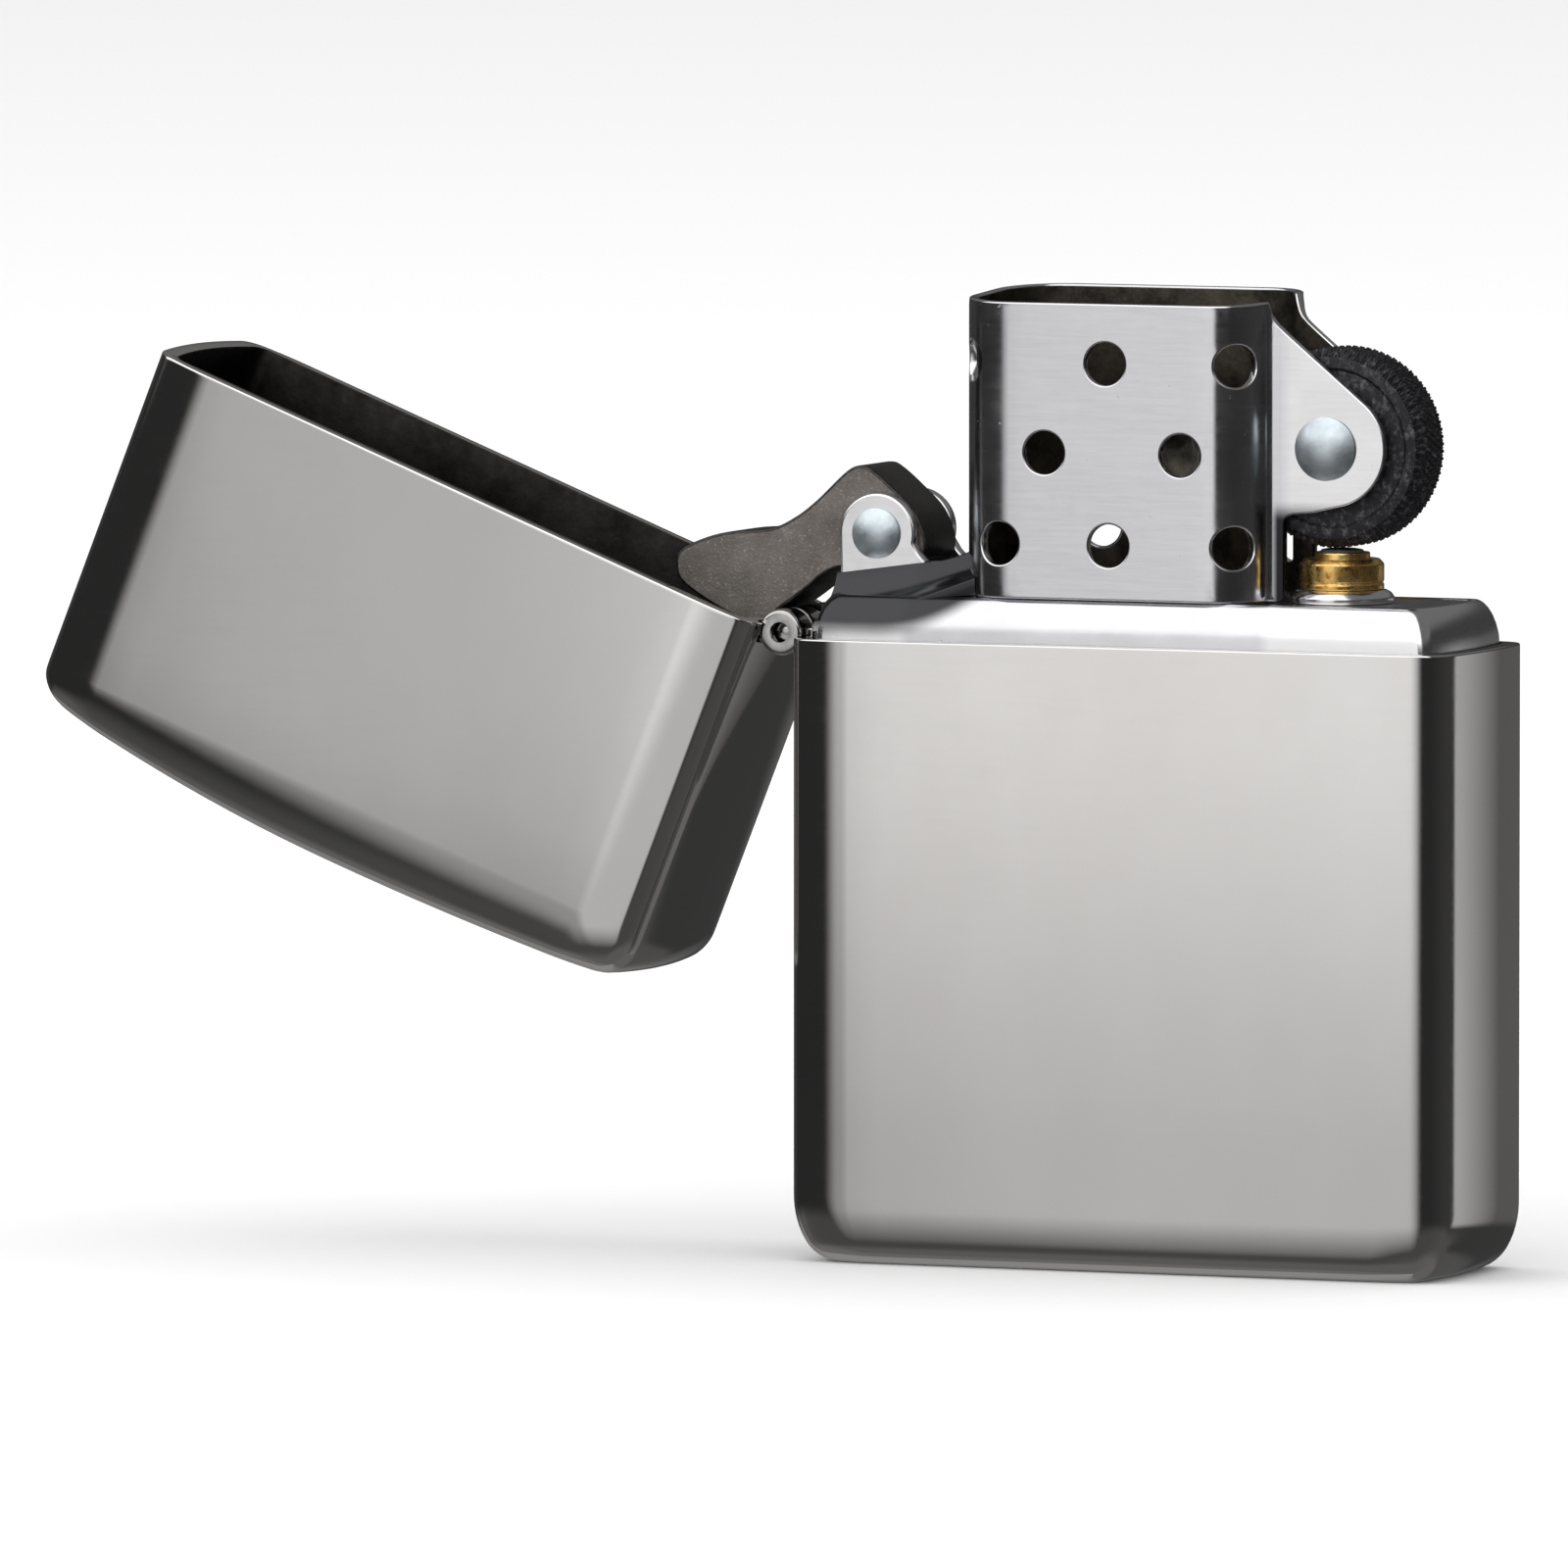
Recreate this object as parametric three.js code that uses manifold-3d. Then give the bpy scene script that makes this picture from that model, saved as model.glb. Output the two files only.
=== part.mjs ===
// Flip-top windproof petrol lighter, standing with its lid open.
// Units are millimetres. +Z is up, +X points away from the hinge, -Y is the front face.
// The origin is the centre of the flat base of the bottom case.

import * as THREE from 'three';
import { mergeVertices } from 'three/addons/utils/BufferGeometryUtils.js';
import Module from 'manifold-3d';

const wasm = await Module();
wasm.setup();

// ---------------------------------------------------------------- driving dimensions

const CASE = {
  halfLength: 19.15,
  halfDepth: 6.6,
  cornerRadius: 1.4,
  innerCornerRadius: 0.85,
  sideBow: 0.55,
  wall: 0.9,
  floorZ: 1.1,
  rimZ: 33.5,
  baseCornerHeight: 3.6,
  baseCornerWidth: 2.2,
  edgeRadius: 1.7,
  rimLip: 0.08,
};
const LID = {
  gap: 0.1,
  topZ: 55.5,
  arch: 1.8,
  hingeArch: 0.8,
  cornerHeight: 2.8,
  cornerWidth: 2.0,
  openDeg: 158.2,
};
const HINGE = {
  x: -19.85,
  z: 33.7,
  knuckleRadius: 1.25,
  boreRadius: 0.55,
  pinRadius: 0.5,
  halfLength: 4.8,
  knuckles: 5,
  knuckleGap: 0.06,
  clearRadius: 1.4,
  leafOuterX: -18.8,
  leafInnerX: -18.4,
  leafReach: 9,
  leafClear: 0.95,
  leafHalfWidth: 3.6,
  pocketGap: 0.03,
  pocketEndX: -17.5,
};
const INSERT = {
  bottomZ: 1.9,
  bottomInset: 0.25,
  halfLength: 18.14,
  halfDepth: 5.6,
  cornerRadius: 0.75,
  sideBow: 0.5,
  sheet: 0.5,
  shoulderZ: 33.2,
  topZ: 35.85,
};
const CHIMNEY = {
  leftX: -9.9,
  frontFlatEndX: 4.7,
  halfDepth: 5.0,
  leftRadius: 3.4,
  rightRadius: 2.6,
  bendRadius: 0.7,
  sheet: 0.5,
  frontTopZ: 51.7,
  rearTopZ: 52.25,
  rightX: 8.3,
  earHalfGap: 1.95,
  earBottomZ: 40.5,
  earRadius: 3.15,
  earEndX: 20,
  holeRadius: 1.15,
};
// Air holes in rows of three, two and three: distance along X, height, and the way the hole faces.
const AIR_HOLES = [
  { x: -9.0, z: 48.5, turnDeg: -50 },
  { x: -1.0, z: 48.5, turnDeg: 0 },
  { x: 6.2, z: 48.5, turnDeg: 35 },
  { x: -4.5, z: 43.7, turnDeg: 0 },
  { x: 3.3, z: 43.7, turnDeg: 0 },
  { x: -7.1, z: 38.8, turnDeg: -10 },
  { x: -0.8, z: 38.8, turnDeg: 0 },
  { x: 6.1, z: 38.8, turnDeg: 33 },
];
const WHEEL = { x: 10.65, z: 44.1, radius: 5.35, halfWidth: 1.75, chamfer: 0.5, boreRadius: 1.0 };
const WHEEL_RIVET = { shaftRadius: 0.9, headRadius: 1.7, headHeight: 0.65 };
const CAM = { x: -14.9, z: 39.05, halfWidth: 2.2, boreRadius: 1.0 };
const CAM_EAR = {
  halfGap: 2.3,
  sheet: 0.8,
  radius: 2.15,
  leftX: -17.1,
  rightX: -9.98,
  slotStartX: -16.9,
  slotEndX: -11.2,
  shoulderZ: 37.8,
  sweepRadius: 2,
};
const CAM_RIVET = { shaftRadius: 0.9, headRadius: 1.35, headHeight: 0.55 };
const WICK = { x: 0.9, radius: 1.5, topZ: 45.5, bottomZ: 6, holeRadius: 1.6 };
const TUBE = {
  outerRadius: 1.9,
  boreRadius: 1.26,
  bottomZ: 3.2,
  neckRadius: 1.5,
  neckTopZ: 38.5,
  collarRadius: 2.25,
  collarTopZ: 38.15,
};
const WASHER = { radius: 2.8, topZ: 36.5 };
const FLINT = { radius: 1.2, topZ: 38.7, length: 5 };
const PLUNGER = { headRadius: 1.15, headLength: 0.8, stemRadius: 0.5, length: 2.6 };
const FLINT_SPRING = { coilRadius: 0.85, wireRadius: 0.14, turns: 12, stepsPerTurn: 9 };
const SCREW = { headRadius: 2.3, headBottomZ: 2.0, headTopZ: 3.1, shankRadius: 1.2, shankTopZ: 6 };
const SCREW_SLOT = { width: 0.5, depth: 0.5 };
const FELT = { bottomZ: 2.0, topZ: 4.4, sideGap: 0.06, holeRadius: 2.4 };
const CAM_SPRING = { halfWidth: 1.5, thickness: 0.2, topZ: 35.3, endX: -16.6, rootX: -11.0, footZ: 27 };

// How the case floor and the lid ceiling curve into the walls: inset from the wall, and height.
const FLOOR_CURVE = [[0, 1.5], [0.35, 0.5], [0.9, 0]];
const CEILING_CURVE = [[1.6, 0], [0.4, 0.5], [0, 1.7]];
const GAP = 0.02;
const ROUND_STEPS = 24;
const DEG = Math.PI / 180;

// ---------------------------------------------------------------- solids and booleans

function toSolid(geometry) {
  const bare = geometry.clone();
  for (const name of Object.keys(bare.attributes)) {
    if (name !== 'position') bare.deleteAttribute(name);
  }
  const merged = mergeVertices(bare, 1e-5);
  const corners = [];
  for (let i = 0; i < merged.index.count; i += 3) {
    const [a, b, c] = [0, 1, 2].map((k) => merged.index.getX(i + k));
    if (a !== b && b !== c && c !== a) corners.push(a, b, c);
  }
  return new wasm.Manifold(new wasm.Mesh({
    numProp: 3,
    vertProperties: new Float32Array(merged.attributes.position.array),
    triVerts: new Uint32Array(corners),
  }));
}

function toGeometry(solid) {
  const mesh = solid.getMesh();
  const geometry = new THREE.BufferGeometry();
  geometry.setAttribute('position', new THREE.BufferAttribute(new Float32Array(mesh.vertProperties), 3));
  geometry.setIndex(new THREE.BufferAttribute(new Uint32Array(mesh.triVerts), 1));
  geometry.computeVertexNormals();
  return geometry;
}

function unite(...geometries) {
  return toGeometry(geometries.map(toSolid).reduce((sum, solid) => sum.add(solid)));
}

function cut(body, ...tools) {
  return toGeometry(tools.map(toSolid).reduce((rest, tool) => rest.subtract(tool), toSolid(body)));
}

function common(a, b) {
  return toGeometry(toSolid(a).intersect(toSolid(b)));
}

// ---------------------------------------------------------------- basic shapes

// A box given by its lowest and highest corners.
function boxBetween(low, high) {
  const size = low.map((value, axis) => high[axis] - value);
  const centre = low.map((value, axis) => (high[axis] + value) / 2);
  return new THREE.BoxGeometry(...size).translate(...centre);
}

// A body turned about the vertical line through (x, y); the profile is a list of [radius, z].
function turnedZ(profile, x = 0, y = 0, steps = ROUND_STEPS) {
  const points = profile.map(([radius, z]) => new THREE.Vector2(radius, z));
  return new THREE.LatheGeometry(points, steps).rotateX(Math.PI / 2).translate(x, y, 0);
}

// A body turned about a line along Y through (x, z); the profile is a list of [radius, y].
function turnedY(profile, x, z, steps = ROUND_STEPS) {
  const points = profile.map(([radius, y]) => new THREE.Vector2(radius, y));
  return new THREE.LatheGeometry(points, steps).translate(x, 0, z);
}

function rodZ(radius, z0, z1, x, y = 0) {
  return turnedZ([[0, z0], [radius, z0], [radius, z1], [0, z1]], x, y);
}

function rodY(radius, y0, y1, x, z) {
  return turnedY([[0, y0], [radius, y0], [radius, y1], [0, y1]], x, z);
}

// An outline of [x, z] points extruded from y0 to y1.
function prismY(outline, y0, y1) {
  const shape = new THREE.Shape(outline.map(([x, z]) => new THREE.Vector2(x, z)));
  const geometry = new THREE.ExtrudeGeometry(shape, { depth: y1 - y0, bevelEnabled: false });
  return geometry.rotateX(Math.PI / 2).translate(0, y1, 0);
}

// An outline of [y, z] points extruded from x0 to x1.
function prismX(outline, x0, x1) {
  return prismY(outline, -x1, -x0).rotateZ(Math.PI / 2);
}

// An outline of [x, y] points extruded from z0 to z1.
function prismZ(outline, z0, z1) {
  const shape = new THREE.Shape(outline.map(([x, y]) => new THREE.Vector2(x, y)));
  return new THREE.ExtrudeGeometry(shape, { depth: z1 - z0, bevelEnabled: false }).translate(0, 0, z0);
}

// Points on an arc about (cx, cy), both ends included.
function arc(cx, cy, radius, fromDeg, toDeg, steps) {
  return Array.from({ length: steps + 1 }, (_, i) => {
    const angle = (fromDeg + ((toDeg - fromDeg) * i) / steps) * DEG;
    return [cx + radius * Math.cos(angle), cy + radius * Math.sin(angle)];
  });
}

// A domed rivet head on the plane y, its dome towards -Y when side is -1 and +Y when side is 1.
function rivetProfile(side, y, shaftRadius, headRadius, headHeight) {
  const dome = arc(0, 0, 1, 0, 90, 4).map(([c, s]) => [headRadius * c, y + side * headHeight * s]);
  return [[shaftRadius, y], ...dome.slice(0, -1), [0, y + side * headHeight]];
}

// A rivet along Y with two domed heads bearing on the planes y = -half and y = half.
function rivetY(half, x, z, { shaftRadius, headRadius, headHeight }) {
  const upper = rivetProfile(1, half, shaftRadius, headRadius, headHeight);
  const lower = rivetProfile(-1, -half, shaftRadius, headRadius, headHeight).reverse();
  return turnedY([...lower, ...upper], x, z);
}

// ---------------------------------------------------------------- lofted shells

// One quarter of a rounded rectangle with bowed ends, from the middle of the front to the +X end.
function quarterLoop({ halfLength, halfDepth, cornerRadius, sideBow }) {
  const cornerY = halfDepth - cornerRadius;
  const endX = (y) => halfLength - sideBow * (y / halfDepth) ** 2;
  const cornerX = endX(cornerY) - cornerRadius;
  const front = [1, 3, 5].map((step) => [(cornerX * step) / 7, -halfDepth]);
  const corner = arc(cornerX, -cornerY, cornerRadius, -90, 0, 4);
  const end = [0.6, 0.2].map((part) => [endX(part * cornerY), -part * cornerY]);
  return [...front, ...corner, ...end];
}

// The whole outline, anticlockwise from above, so that point k mirrors point n - 1 - k about the X axis.
function planLoop(plan) {
  const quarter = quarterLoop(plan);
  const front = [...quarter.map(([x, y]) => [-x, y]).reverse(), ...quarter];
  return [...front, ...front.map(([x, y]) => [x, -y]).reverse()];
}

function ring(plan, z) {
  const height = typeof z === 'function' ? z : () => z;
  return planLoop(plan).map(([x, y]) => [x, y, height(x)]);
}

// Skins a list of rings; the first and last are closed by strips between mirrored points.
function loft(rings) {
  const count = rings[0].length;
  const indices = [];
  rings.slice(1).forEach((_, level) => {
    for (let k = 0; k < count; k += 1) {
      const a = level * count + k;
      const b = level * count + ((k + 1) % count);
      indices.push(a, b, b + count, a, b + count, a + count);
    }
  });
  const last = (rings.length - 1) * count;
  for (let k = 0; k < count / 2 - 1; k += 1) {
    const [a, b, c, d] = [k, k + 1, count - 2 - k, count - 1 - k];
    indices.push(a, c, b, a, d, c);
    indices.push(last + a, last + b, last + c, last + a, last + c, last + d);
  }
  const geometry = new THREE.BufferGeometry();
  geometry.setAttribute('position', new THREE.Float32BufferAttribute(rings.flat(2), 3));
  geometry.setIndex(indices);
  return geometry;
}

// How far an elliptical corner of the given width stands in at a height below its full height.
function cornerInset(width, height, level) {
  if (level >= height) return 0;
  const rest = (height - level) / height;
  return width * (1 - Math.sqrt(1 - rest * rest));
}

// The outer plan of a drawn shell at a distance from its closed end.
function shellPlan(level, cornerWidth, cornerHeight) {
  const edge = cornerInset(CASE.edgeRadius, CASE.edgeRadius, level);
  return {
    halfLength: CASE.halfLength - cornerInset(cornerWidth, cornerHeight, level),
    halfDepth: CASE.halfDepth - edge,
    cornerRadius: CASE.cornerRadius - 0.4 * edge,
    sideBow: CASE.sideBow,
  };
}

// The outer plan away from the closed end, standing in by a distance.
function fullPlan(inset = 0) {
  return {
    halfLength: CASE.halfLength - inset,
    halfDepth: CASE.halfDepth - inset,
    cornerRadius: CASE.cornerRadius,
    sideBow: CASE.sideBow,
  };
}

// The inner plan of the case and the lid, standing in by a distance from its own full size.
function cavityPlan(inset = 0) {
  return {
    halfLength: CASE.halfLength - CASE.wall - inset,
    halfDepth: CASE.halfDepth - CASE.wall - inset,
    cornerRadius: CASE.innerCornerRadius,
    sideBow: INSERT.sideBow,
  };
}

// ---------------------------------------------------------------- bottom case, lid and hinge

// The round space that the hinge barrel turns in.
function barrelSpace() {
  const half = HINGE.halfLength + 0.1;
  return rodY(HINGE.clearRadius, -half, half, HINGE.x, HINGE.z);
}

// The recess in a side wall that takes a hinge leaf between two heights.
function leafPocket(z0, z1) {
  const half = HINGE.leafHalfWidth + HINGE.pocketGap;
  return boxBetween([HINGE.leafOuterX - HINGE.pocketGap, -half, z0], [HINGE.pocketEndX, half, z1]);
}

function caseBottom() {
  const levels = [0, 0.12, 0.45, 1.0, 1.7, 2.6, CASE.baseCornerHeight];
  const outside = levels.map((z) => ring(shellPlan(z, CASE.baseCornerWidth, CASE.baseCornerHeight), z));
  const shell = loft([
    ...outside,
    ring(fullPlan(), CASE.rimZ - CASE.rimLip),
    ring(fullPlan(CASE.rimLip), CASE.rimZ),
    ring(cavityPlan(), CASE.rimZ),
    ...FLOOR_CURVE.map(([inset, rise]) => ring(cavityPlan(inset), CASE.floorZ + rise)),
  ]);
  return cut(shell, barrelSpace(), leafPocket(HINGE.z - HINGE.leafReach, CASE.rimZ + 1));
}

// The lid is drawn where it sits when closed.
function caseLid() {
  const rimZ = CASE.rimZ + LID.gap;
  const archDrop = (x) => (x < 0 ? LID.hingeArch : LID.arch) * (x / CASE.halfLength) ** 2;
  const outerArch = (level) => (x) => {
    const fade = Math.max(0, 1 - level / (LID.cornerHeight + 1));
    return LID.topZ - level - fade * archDrop(x);
  };
  const ceiling = (drop) => (x) => LID.topZ - CASE.wall - drop - archDrop(x);
  const levels = [LID.cornerHeight, 2.4, 1.7, 1.0, 0.45, 0.12, 0];
  const shell = loft([
    ...CEILING_CURVE.map(([inset, drop]) => ring(cavityPlan(inset), ceiling(drop))),
    ring(cavityPlan(), rimZ),
    ring(fullPlan(CASE.rimLip), rimZ),
    ring(fullPlan(), rimZ + CASE.rimLip),
    ...levels.map((level) => ring(shellPlan(level, LID.cornerWidth, LID.cornerHeight), outerArch(level))),
  ]);
  return cut(shell, barrelSpace(), leafPocket(rimZ - 1, HINGE.z + HINGE.leafReach + 0.1));
}

// One leaf: a plate in its pocket, with the knuckles whose numbers are even or odd.
// side is -1 for the leaf in the bottom case and 1 for the leaf in the lid.
function hingeLeaf(side, parity) {
  const pitch = (2 * HINGE.halfLength) / HINGE.knuckles;
  const plateEnds = [HINGE.z + side * HINGE.leafClear, HINGE.z + side * (HINGE.leafReach - 0.1)];
  const span = (ends, y0, y1) => boxBetween(
    [HINGE.leafOuterX, y0, Math.min(...ends)], [HINGE.leafInnerX, y1, Math.max(...ends)]);
  const pieces = [span(plateEnds, -HINGE.leafHalfWidth, HINGE.leafHalfWidth)];
  for (let k = parity; k < HINGE.knuckles; k += 2) {
    const y0 = -HINGE.halfLength + k * pitch + HINGE.knuckleGap / 2;
    const y1 = y0 + pitch - HINGE.knuckleGap;
    const tab0 = Math.max(y0, -HINGE.leafHalfWidth);
    const tab1 = Math.min(y1, HINGE.leafHalfWidth);
    pieces.push(rodY(HINGE.knuckleRadius, y0, y1, HINGE.x, HINGE.z));
    pieces.push(span([HINGE.z, plateEnds[0] + side * 0.1], tab0, tab1));
  }
  const half = HINGE.halfLength + 1;
  return cut(unite(...pieces), rodY(HINGE.boreRadius, -half, half, HINGE.x, HINGE.z));
}

function hingePin() {
  return rodY(HINGE.pinRadius, -HINGE.halfLength, HINGE.halfLength, HINGE.x, HINGE.z);
}

// ---------------------------------------------------------------- insert: tank, chimney and cam ears

function insertPlan(inset) {
  return {
    halfLength: INSERT.halfLength - inset,
    halfDepth: INSERT.halfDepth - inset,
    cornerRadius: INSERT.cornerRadius,
    sideBow: INSERT.sideBow,
  };
}

// One cam ear with the concave shoulder that it stands on, for the side y = side * distance.
function camEar(side) {
  const { halfGap: inner, shoulderZ, sweepRadius } = CAM_EAR;
  const outer = inner + CAM_EAR.sheet;
  const floorZ = INSERT.topZ - 0.3;
  const sweep = arc(outer + sweepRadius, shoulderZ, sweepRadius, 180, 250, 5);
  const section = [[inner, floorZ], [inner, shoulderZ], ...sweep, [sweep.at(-1)[0], floorZ]];
  const shoulder = prismX(section, CAM_EAR.leftX, CAM_EAR.rightX);
  const dome = [
    ...arc(CAM.x, CAM.z, CAM_EAR.radius, 0, 180, 12),
    [CAM_EAR.leftX, shoulderZ - 0.6],
    [CAM_EAR.rightX - 1.8, shoulderZ - 0.6],
  ];
  const bore = rodY(CAM_RIVET.shaftRadius + GAP, inner - 1, outer + 1, CAM.x, CAM.z);
  const ear = cut(unite(shoulder, prismY(dome, inner, outer)), bore);
  return side > 0 ? ear : mirrorY(ear);
}

function mirrorY(geometry) {
  const mirrored = geometry.clone().scale(1, -1, 1);
  const index = mirrored.index.array;
  for (let i = 0; i < index.length; i += 3) {
    [index[i], index[i + 1]] = [index[i + 1], index[i]];
  }
  return mirrored;
}

function insertTank() {
  const shoulder = [[0, INSERT.shoulderZ], [0.35, 35.0], [0.5, 35.55], [0.9, INSERT.topZ]];
  const outside = loft([
    ring(insertPlan(INSERT.bottomInset), INSERT.bottomZ),
    ring(insertPlan(0), INSERT.bottomZ + 0.7),
    ...shoulder.map(([inset, z]) => ring(insertPlan(inset), z)),
  ]);
  const ceilingZ = INSERT.topZ - INSERT.sheet;
  const inside = loft([
    ring(insertPlan(INSERT.sheet), INSERT.bottomZ - 1),
    ring(insertPlan(INSERT.sheet), INSERT.shoulderZ),
    ring(insertPlan(INSERT.sheet + 0.4), ceilingZ),
  ]);
  const slot = boxBetween(
    [CAM_EAR.slotStartX, -CAM_EAR.halfGap, ceilingZ - 0.5],
    [CAM_EAR.slotEndX, CAM_EAR.halfGap, INSERT.topZ + 1],
  );
  const wickHole = rodZ(WICK.holeRadius, ceilingZ - 1, INSERT.topZ + 1, WICK.x);
  const tubeHole = rodZ(TUBE.outerRadius + GAP, ceilingZ - 1, INSERT.topZ + 1, WHEEL.x);
  const can = cut(outside, inside);
  return cut(unite(can, camEar(1), camEar(-1)), slot, wickHole, tubeHole);
}

// The line of the chimney sheet at a distance from its middle surface, from the cam end to the ear end.
// It covers the half with y < 0.
function sheetLine(offset) {
  const half = CHIMNEY.sheet / 2;
  const leftR = CHIMNEY.leftRadius - half;
  const rightR = CHIMNEY.rightRadius - half;
  const frontY = CHIMNEY.halfDepth - half;
  const earY = CHIMNEY.earHalfGap + half;
  const bend = CHIMNEY.bendRadius;
  const turn = Math.acos((earY - frontY + rightR + bend) / (rightR + bend)) / DEG;
  const endX = CHIMNEY.frontFlatEndX + (rightR + bend) * Math.sin(turn * DEG);
  return [
    [CHIMNEY.leftX + half - offset, 0],
    ...arc(CHIMNEY.leftX + CHIMNEY.leftRadius, leftR - frontY, leftR + offset, 180, 270, 6),
    ...arc(CHIMNEY.frontFlatEndX, rightR - frontY, rightR + offset, -90, turn - 90, 5),
    ...arc(endX, -earY - bend, bend - offset, 90 + turn, 90, 3),
    [CHIMNEY.earEndX, -earY - offset],
  ];
}

// The side outline of the chimney with its wheel ears, before the top is sloped.
function chimneyOutline() {
  const baseZ = INSERT.topZ + GAP;
  const { leftX, rightX, earBottomZ, earRadius, rearTopZ } = CHIMNEY;
  return [
    [leftX - 2, baseZ],
    [rightX, baseZ],
    [rightX, earBottomZ],
    ...arc(WHEEL.x + 0.2, WHEEL.z, earRadius, -80, 48, 7),
    [rightX + 0.1, 50.2],
    [rightX - 0.7, 50.9],
    [rightX - 1.0, rearTopZ + 1],
    [leftX - 2, rearTopZ + 1],
  ];
}

function chimney() {
  const half = CHIMNEY.sheet / 2;
  const frontHalf = [...sheetLine(half), ...sheetLine(-half).reverse()];
  const strip = prismZ(frontHalf, INSERT.topZ - 1, CHIMNEY.rearTopZ + 2);
  const sleeve = unite(strip, mirrorY(toGeometry(toSolid(strip))));
  const slopeAt = (y) => {
    const part = (y + CHIMNEY.halfDepth) / (2 * CHIMNEY.halfDepth);
    return CHIMNEY.frontTopZ + part * (CHIMNEY.rearTopZ - CHIMNEY.frontTopZ);
  };
  const limit = CASE.halfDepth + 1;
  const skyZ = CHIMNEY.rearTopZ + 4;
  const above = prismX(
    [[-limit, slopeAt(-limit)], [limit, slopeAt(limit)], [limit, skyZ], [-limit, skyZ]],
    CHIMNEY.leftX - 5,
    CHIMNEY.earEndX,
  );
  const holes = AIR_HOLES.flatMap((hole) => [-1, 1].map((side) => airHole(hole, side)));
  const axle = rodY(WHEEL_RIVET.shaftRadius + GAP, -5, 5, WHEEL.x, WHEEL.z);
  return cut(common(sleeve, prismY(chimneyOutline(), -limit, limit)), above, axle, ...holes);
}

// A short drill through one wall, square to the sheet where the hole is.
function airHole({ x, z, turnDeg }, side) {
  const { halfDepth, leftX, leftRadius, rightRadius, frontFlatEndX } = CHIMNEY;
  const drill = rodY(CHIMNEY.holeRadius, -1.2, 1.6, 0, 0);
  const [centreX, radius] = turnDeg < 0 ? [leftX + leftRadius, leftRadius] : [frontFlatEndX, rightRadius];
  const roundY = halfDepth - radius + Math.sqrt(radius ** 2 - (x - centreX) ** 2);
  const surfaceY = turnDeg === 0 ? halfDepth : roundY;
  return drill.rotateZ(side * -turnDeg * DEG).translate(x, side * surfaceY, z);
}

// ---------------------------------------------------------------- striker wheel and cam

function strikerWheel() {
  const { radius, halfWidth, chamfer, boreRadius } = WHEEL;
  return turnedY([
    [boreRadius, -halfWidth],
    [radius - chamfer, -halfWidth],
    [radius, -halfWidth + chamfer],
    [radius, halfWidth - chamfer],
    [radius - chamfer, halfWidth],
    [boreRadius, halfWidth],
    [boreRadius, -halfWidth],
  ], WHEEL.x, WHEEL.z, 36);
}

// The cam as it lies with the lid open: a toe in the lid, a hump above the rivet and a heel beside it.
function camLever() {
  const toe = [
    [-25.7, 38.35], [-26.7, 37.8], [-26.95, 37.1], [-26.6, 36.1], [-24.6, 34.8], [-22.4, 33.85],
  ];
  const aroundBarrel = [
    [-21.6, 33.95], [-21.0, 34.7], [-20.1, 35.35], [-19.15, 36.05], [-18.35, 36.7], [-17.2, 37.1],
  ];
  const heel = [
    [-14.5, 37.05], [-13.0, 37.45], [-12.5, 38.0], [-12.5, 38.6], [-13.4, 40.0], [-14.4, 41.1],
  ];
  const hump = [
    [-15.4, 42.3], [-16.1, 42.6], [-17.0, 42.3], [-18.8, 40.65], [-20.1, 39.7], [-21.5, 39.1],
    [-24.0, 38.85],
  ];
  const plate = prismY([...toe, ...aroundBarrel, ...heel, ...hump], -CAM.halfWidth, CAM.halfWidth);
  return cut(plate, rodY(CAM.boreRadius, -5, 5, CAM.x, CAM.z));
}

// A flat strip that runs up inside the tank and turns over under the cam.
function camSpring() {
  const { halfWidth, thickness, topZ, endX, rootX, footZ } = CAM_SPRING;
  return prismY([
    [endX, topZ - thickness],
    [rootX - thickness, topZ - thickness],
    [rootX - thickness, footZ],
    [rootX, footZ],
    [rootX, topZ],
    [endX, topZ],
  ], -halfWidth, halfWidth);
}

// ---------------------------------------------------------------- flint, wick and packing

function flintTube() {
  const { outerRadius, boreRadius, bottomZ, neckRadius, neckTopZ } = TUBE;
  return turnedZ([
    [boreRadius, bottomZ],
    [outerRadius, bottomZ],
    [outerRadius, INSERT.topZ + 0.1],
    [neckRadius, INSERT.topZ + 0.1],
    [neckRadius, neckTopZ],
    [boreRadius, neckTopZ],
    [boreRadius, bottomZ],
  ], WHEEL.x);
}

function ringZ(outer, inner, z0, z1, x) {
  return turnedZ([[inner, z0], [outer, z0], [outer, z1], [inner, z1], [inner, z0]], x);
}

function flintSpring(z0, z1) {
  const { coilRadius, wireRadius, turns, stepsPerTurn } = FLINT_SPRING;
  const points = [];
  for (let i = 0; i <= turns * stepsPerTurn; i += 1) {
    const part = i / (turns * stepsPerTurn);
    const angle = 2 * Math.PI * turns * part;
    const z = z0 + wireRadius + part * (z1 - z0 - 2 * wireRadius);
    points.push(new THREE.Vector3(WHEEL.x + coilRadius * Math.cos(angle), coilRadius * Math.sin(angle), z));
  }
  const round = arc(0, 0, wireRadius, 0, 288, 4).map(([x, y]) => new THREE.Vector2(x, y));
  return new THREE.ExtrudeGeometry(new THREE.Shape(round), {
    steps: points.length - 1,
    bevelEnabled: false,
    extrudePath: new THREE.CatmullRomCurve3(points),
  });
}

function flintPlunger(topZ) {
  const { headRadius, headLength, stemRadius, length } = PLUNGER;
  return turnedZ([
    [0, topZ - length],
    [stemRadius, topZ - length],
    [stemRadius, topZ - headLength],
    [headRadius, topZ - headLength],
    [headRadius, topZ],
    [0, topZ],
  ], WHEEL.x);
}

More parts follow.
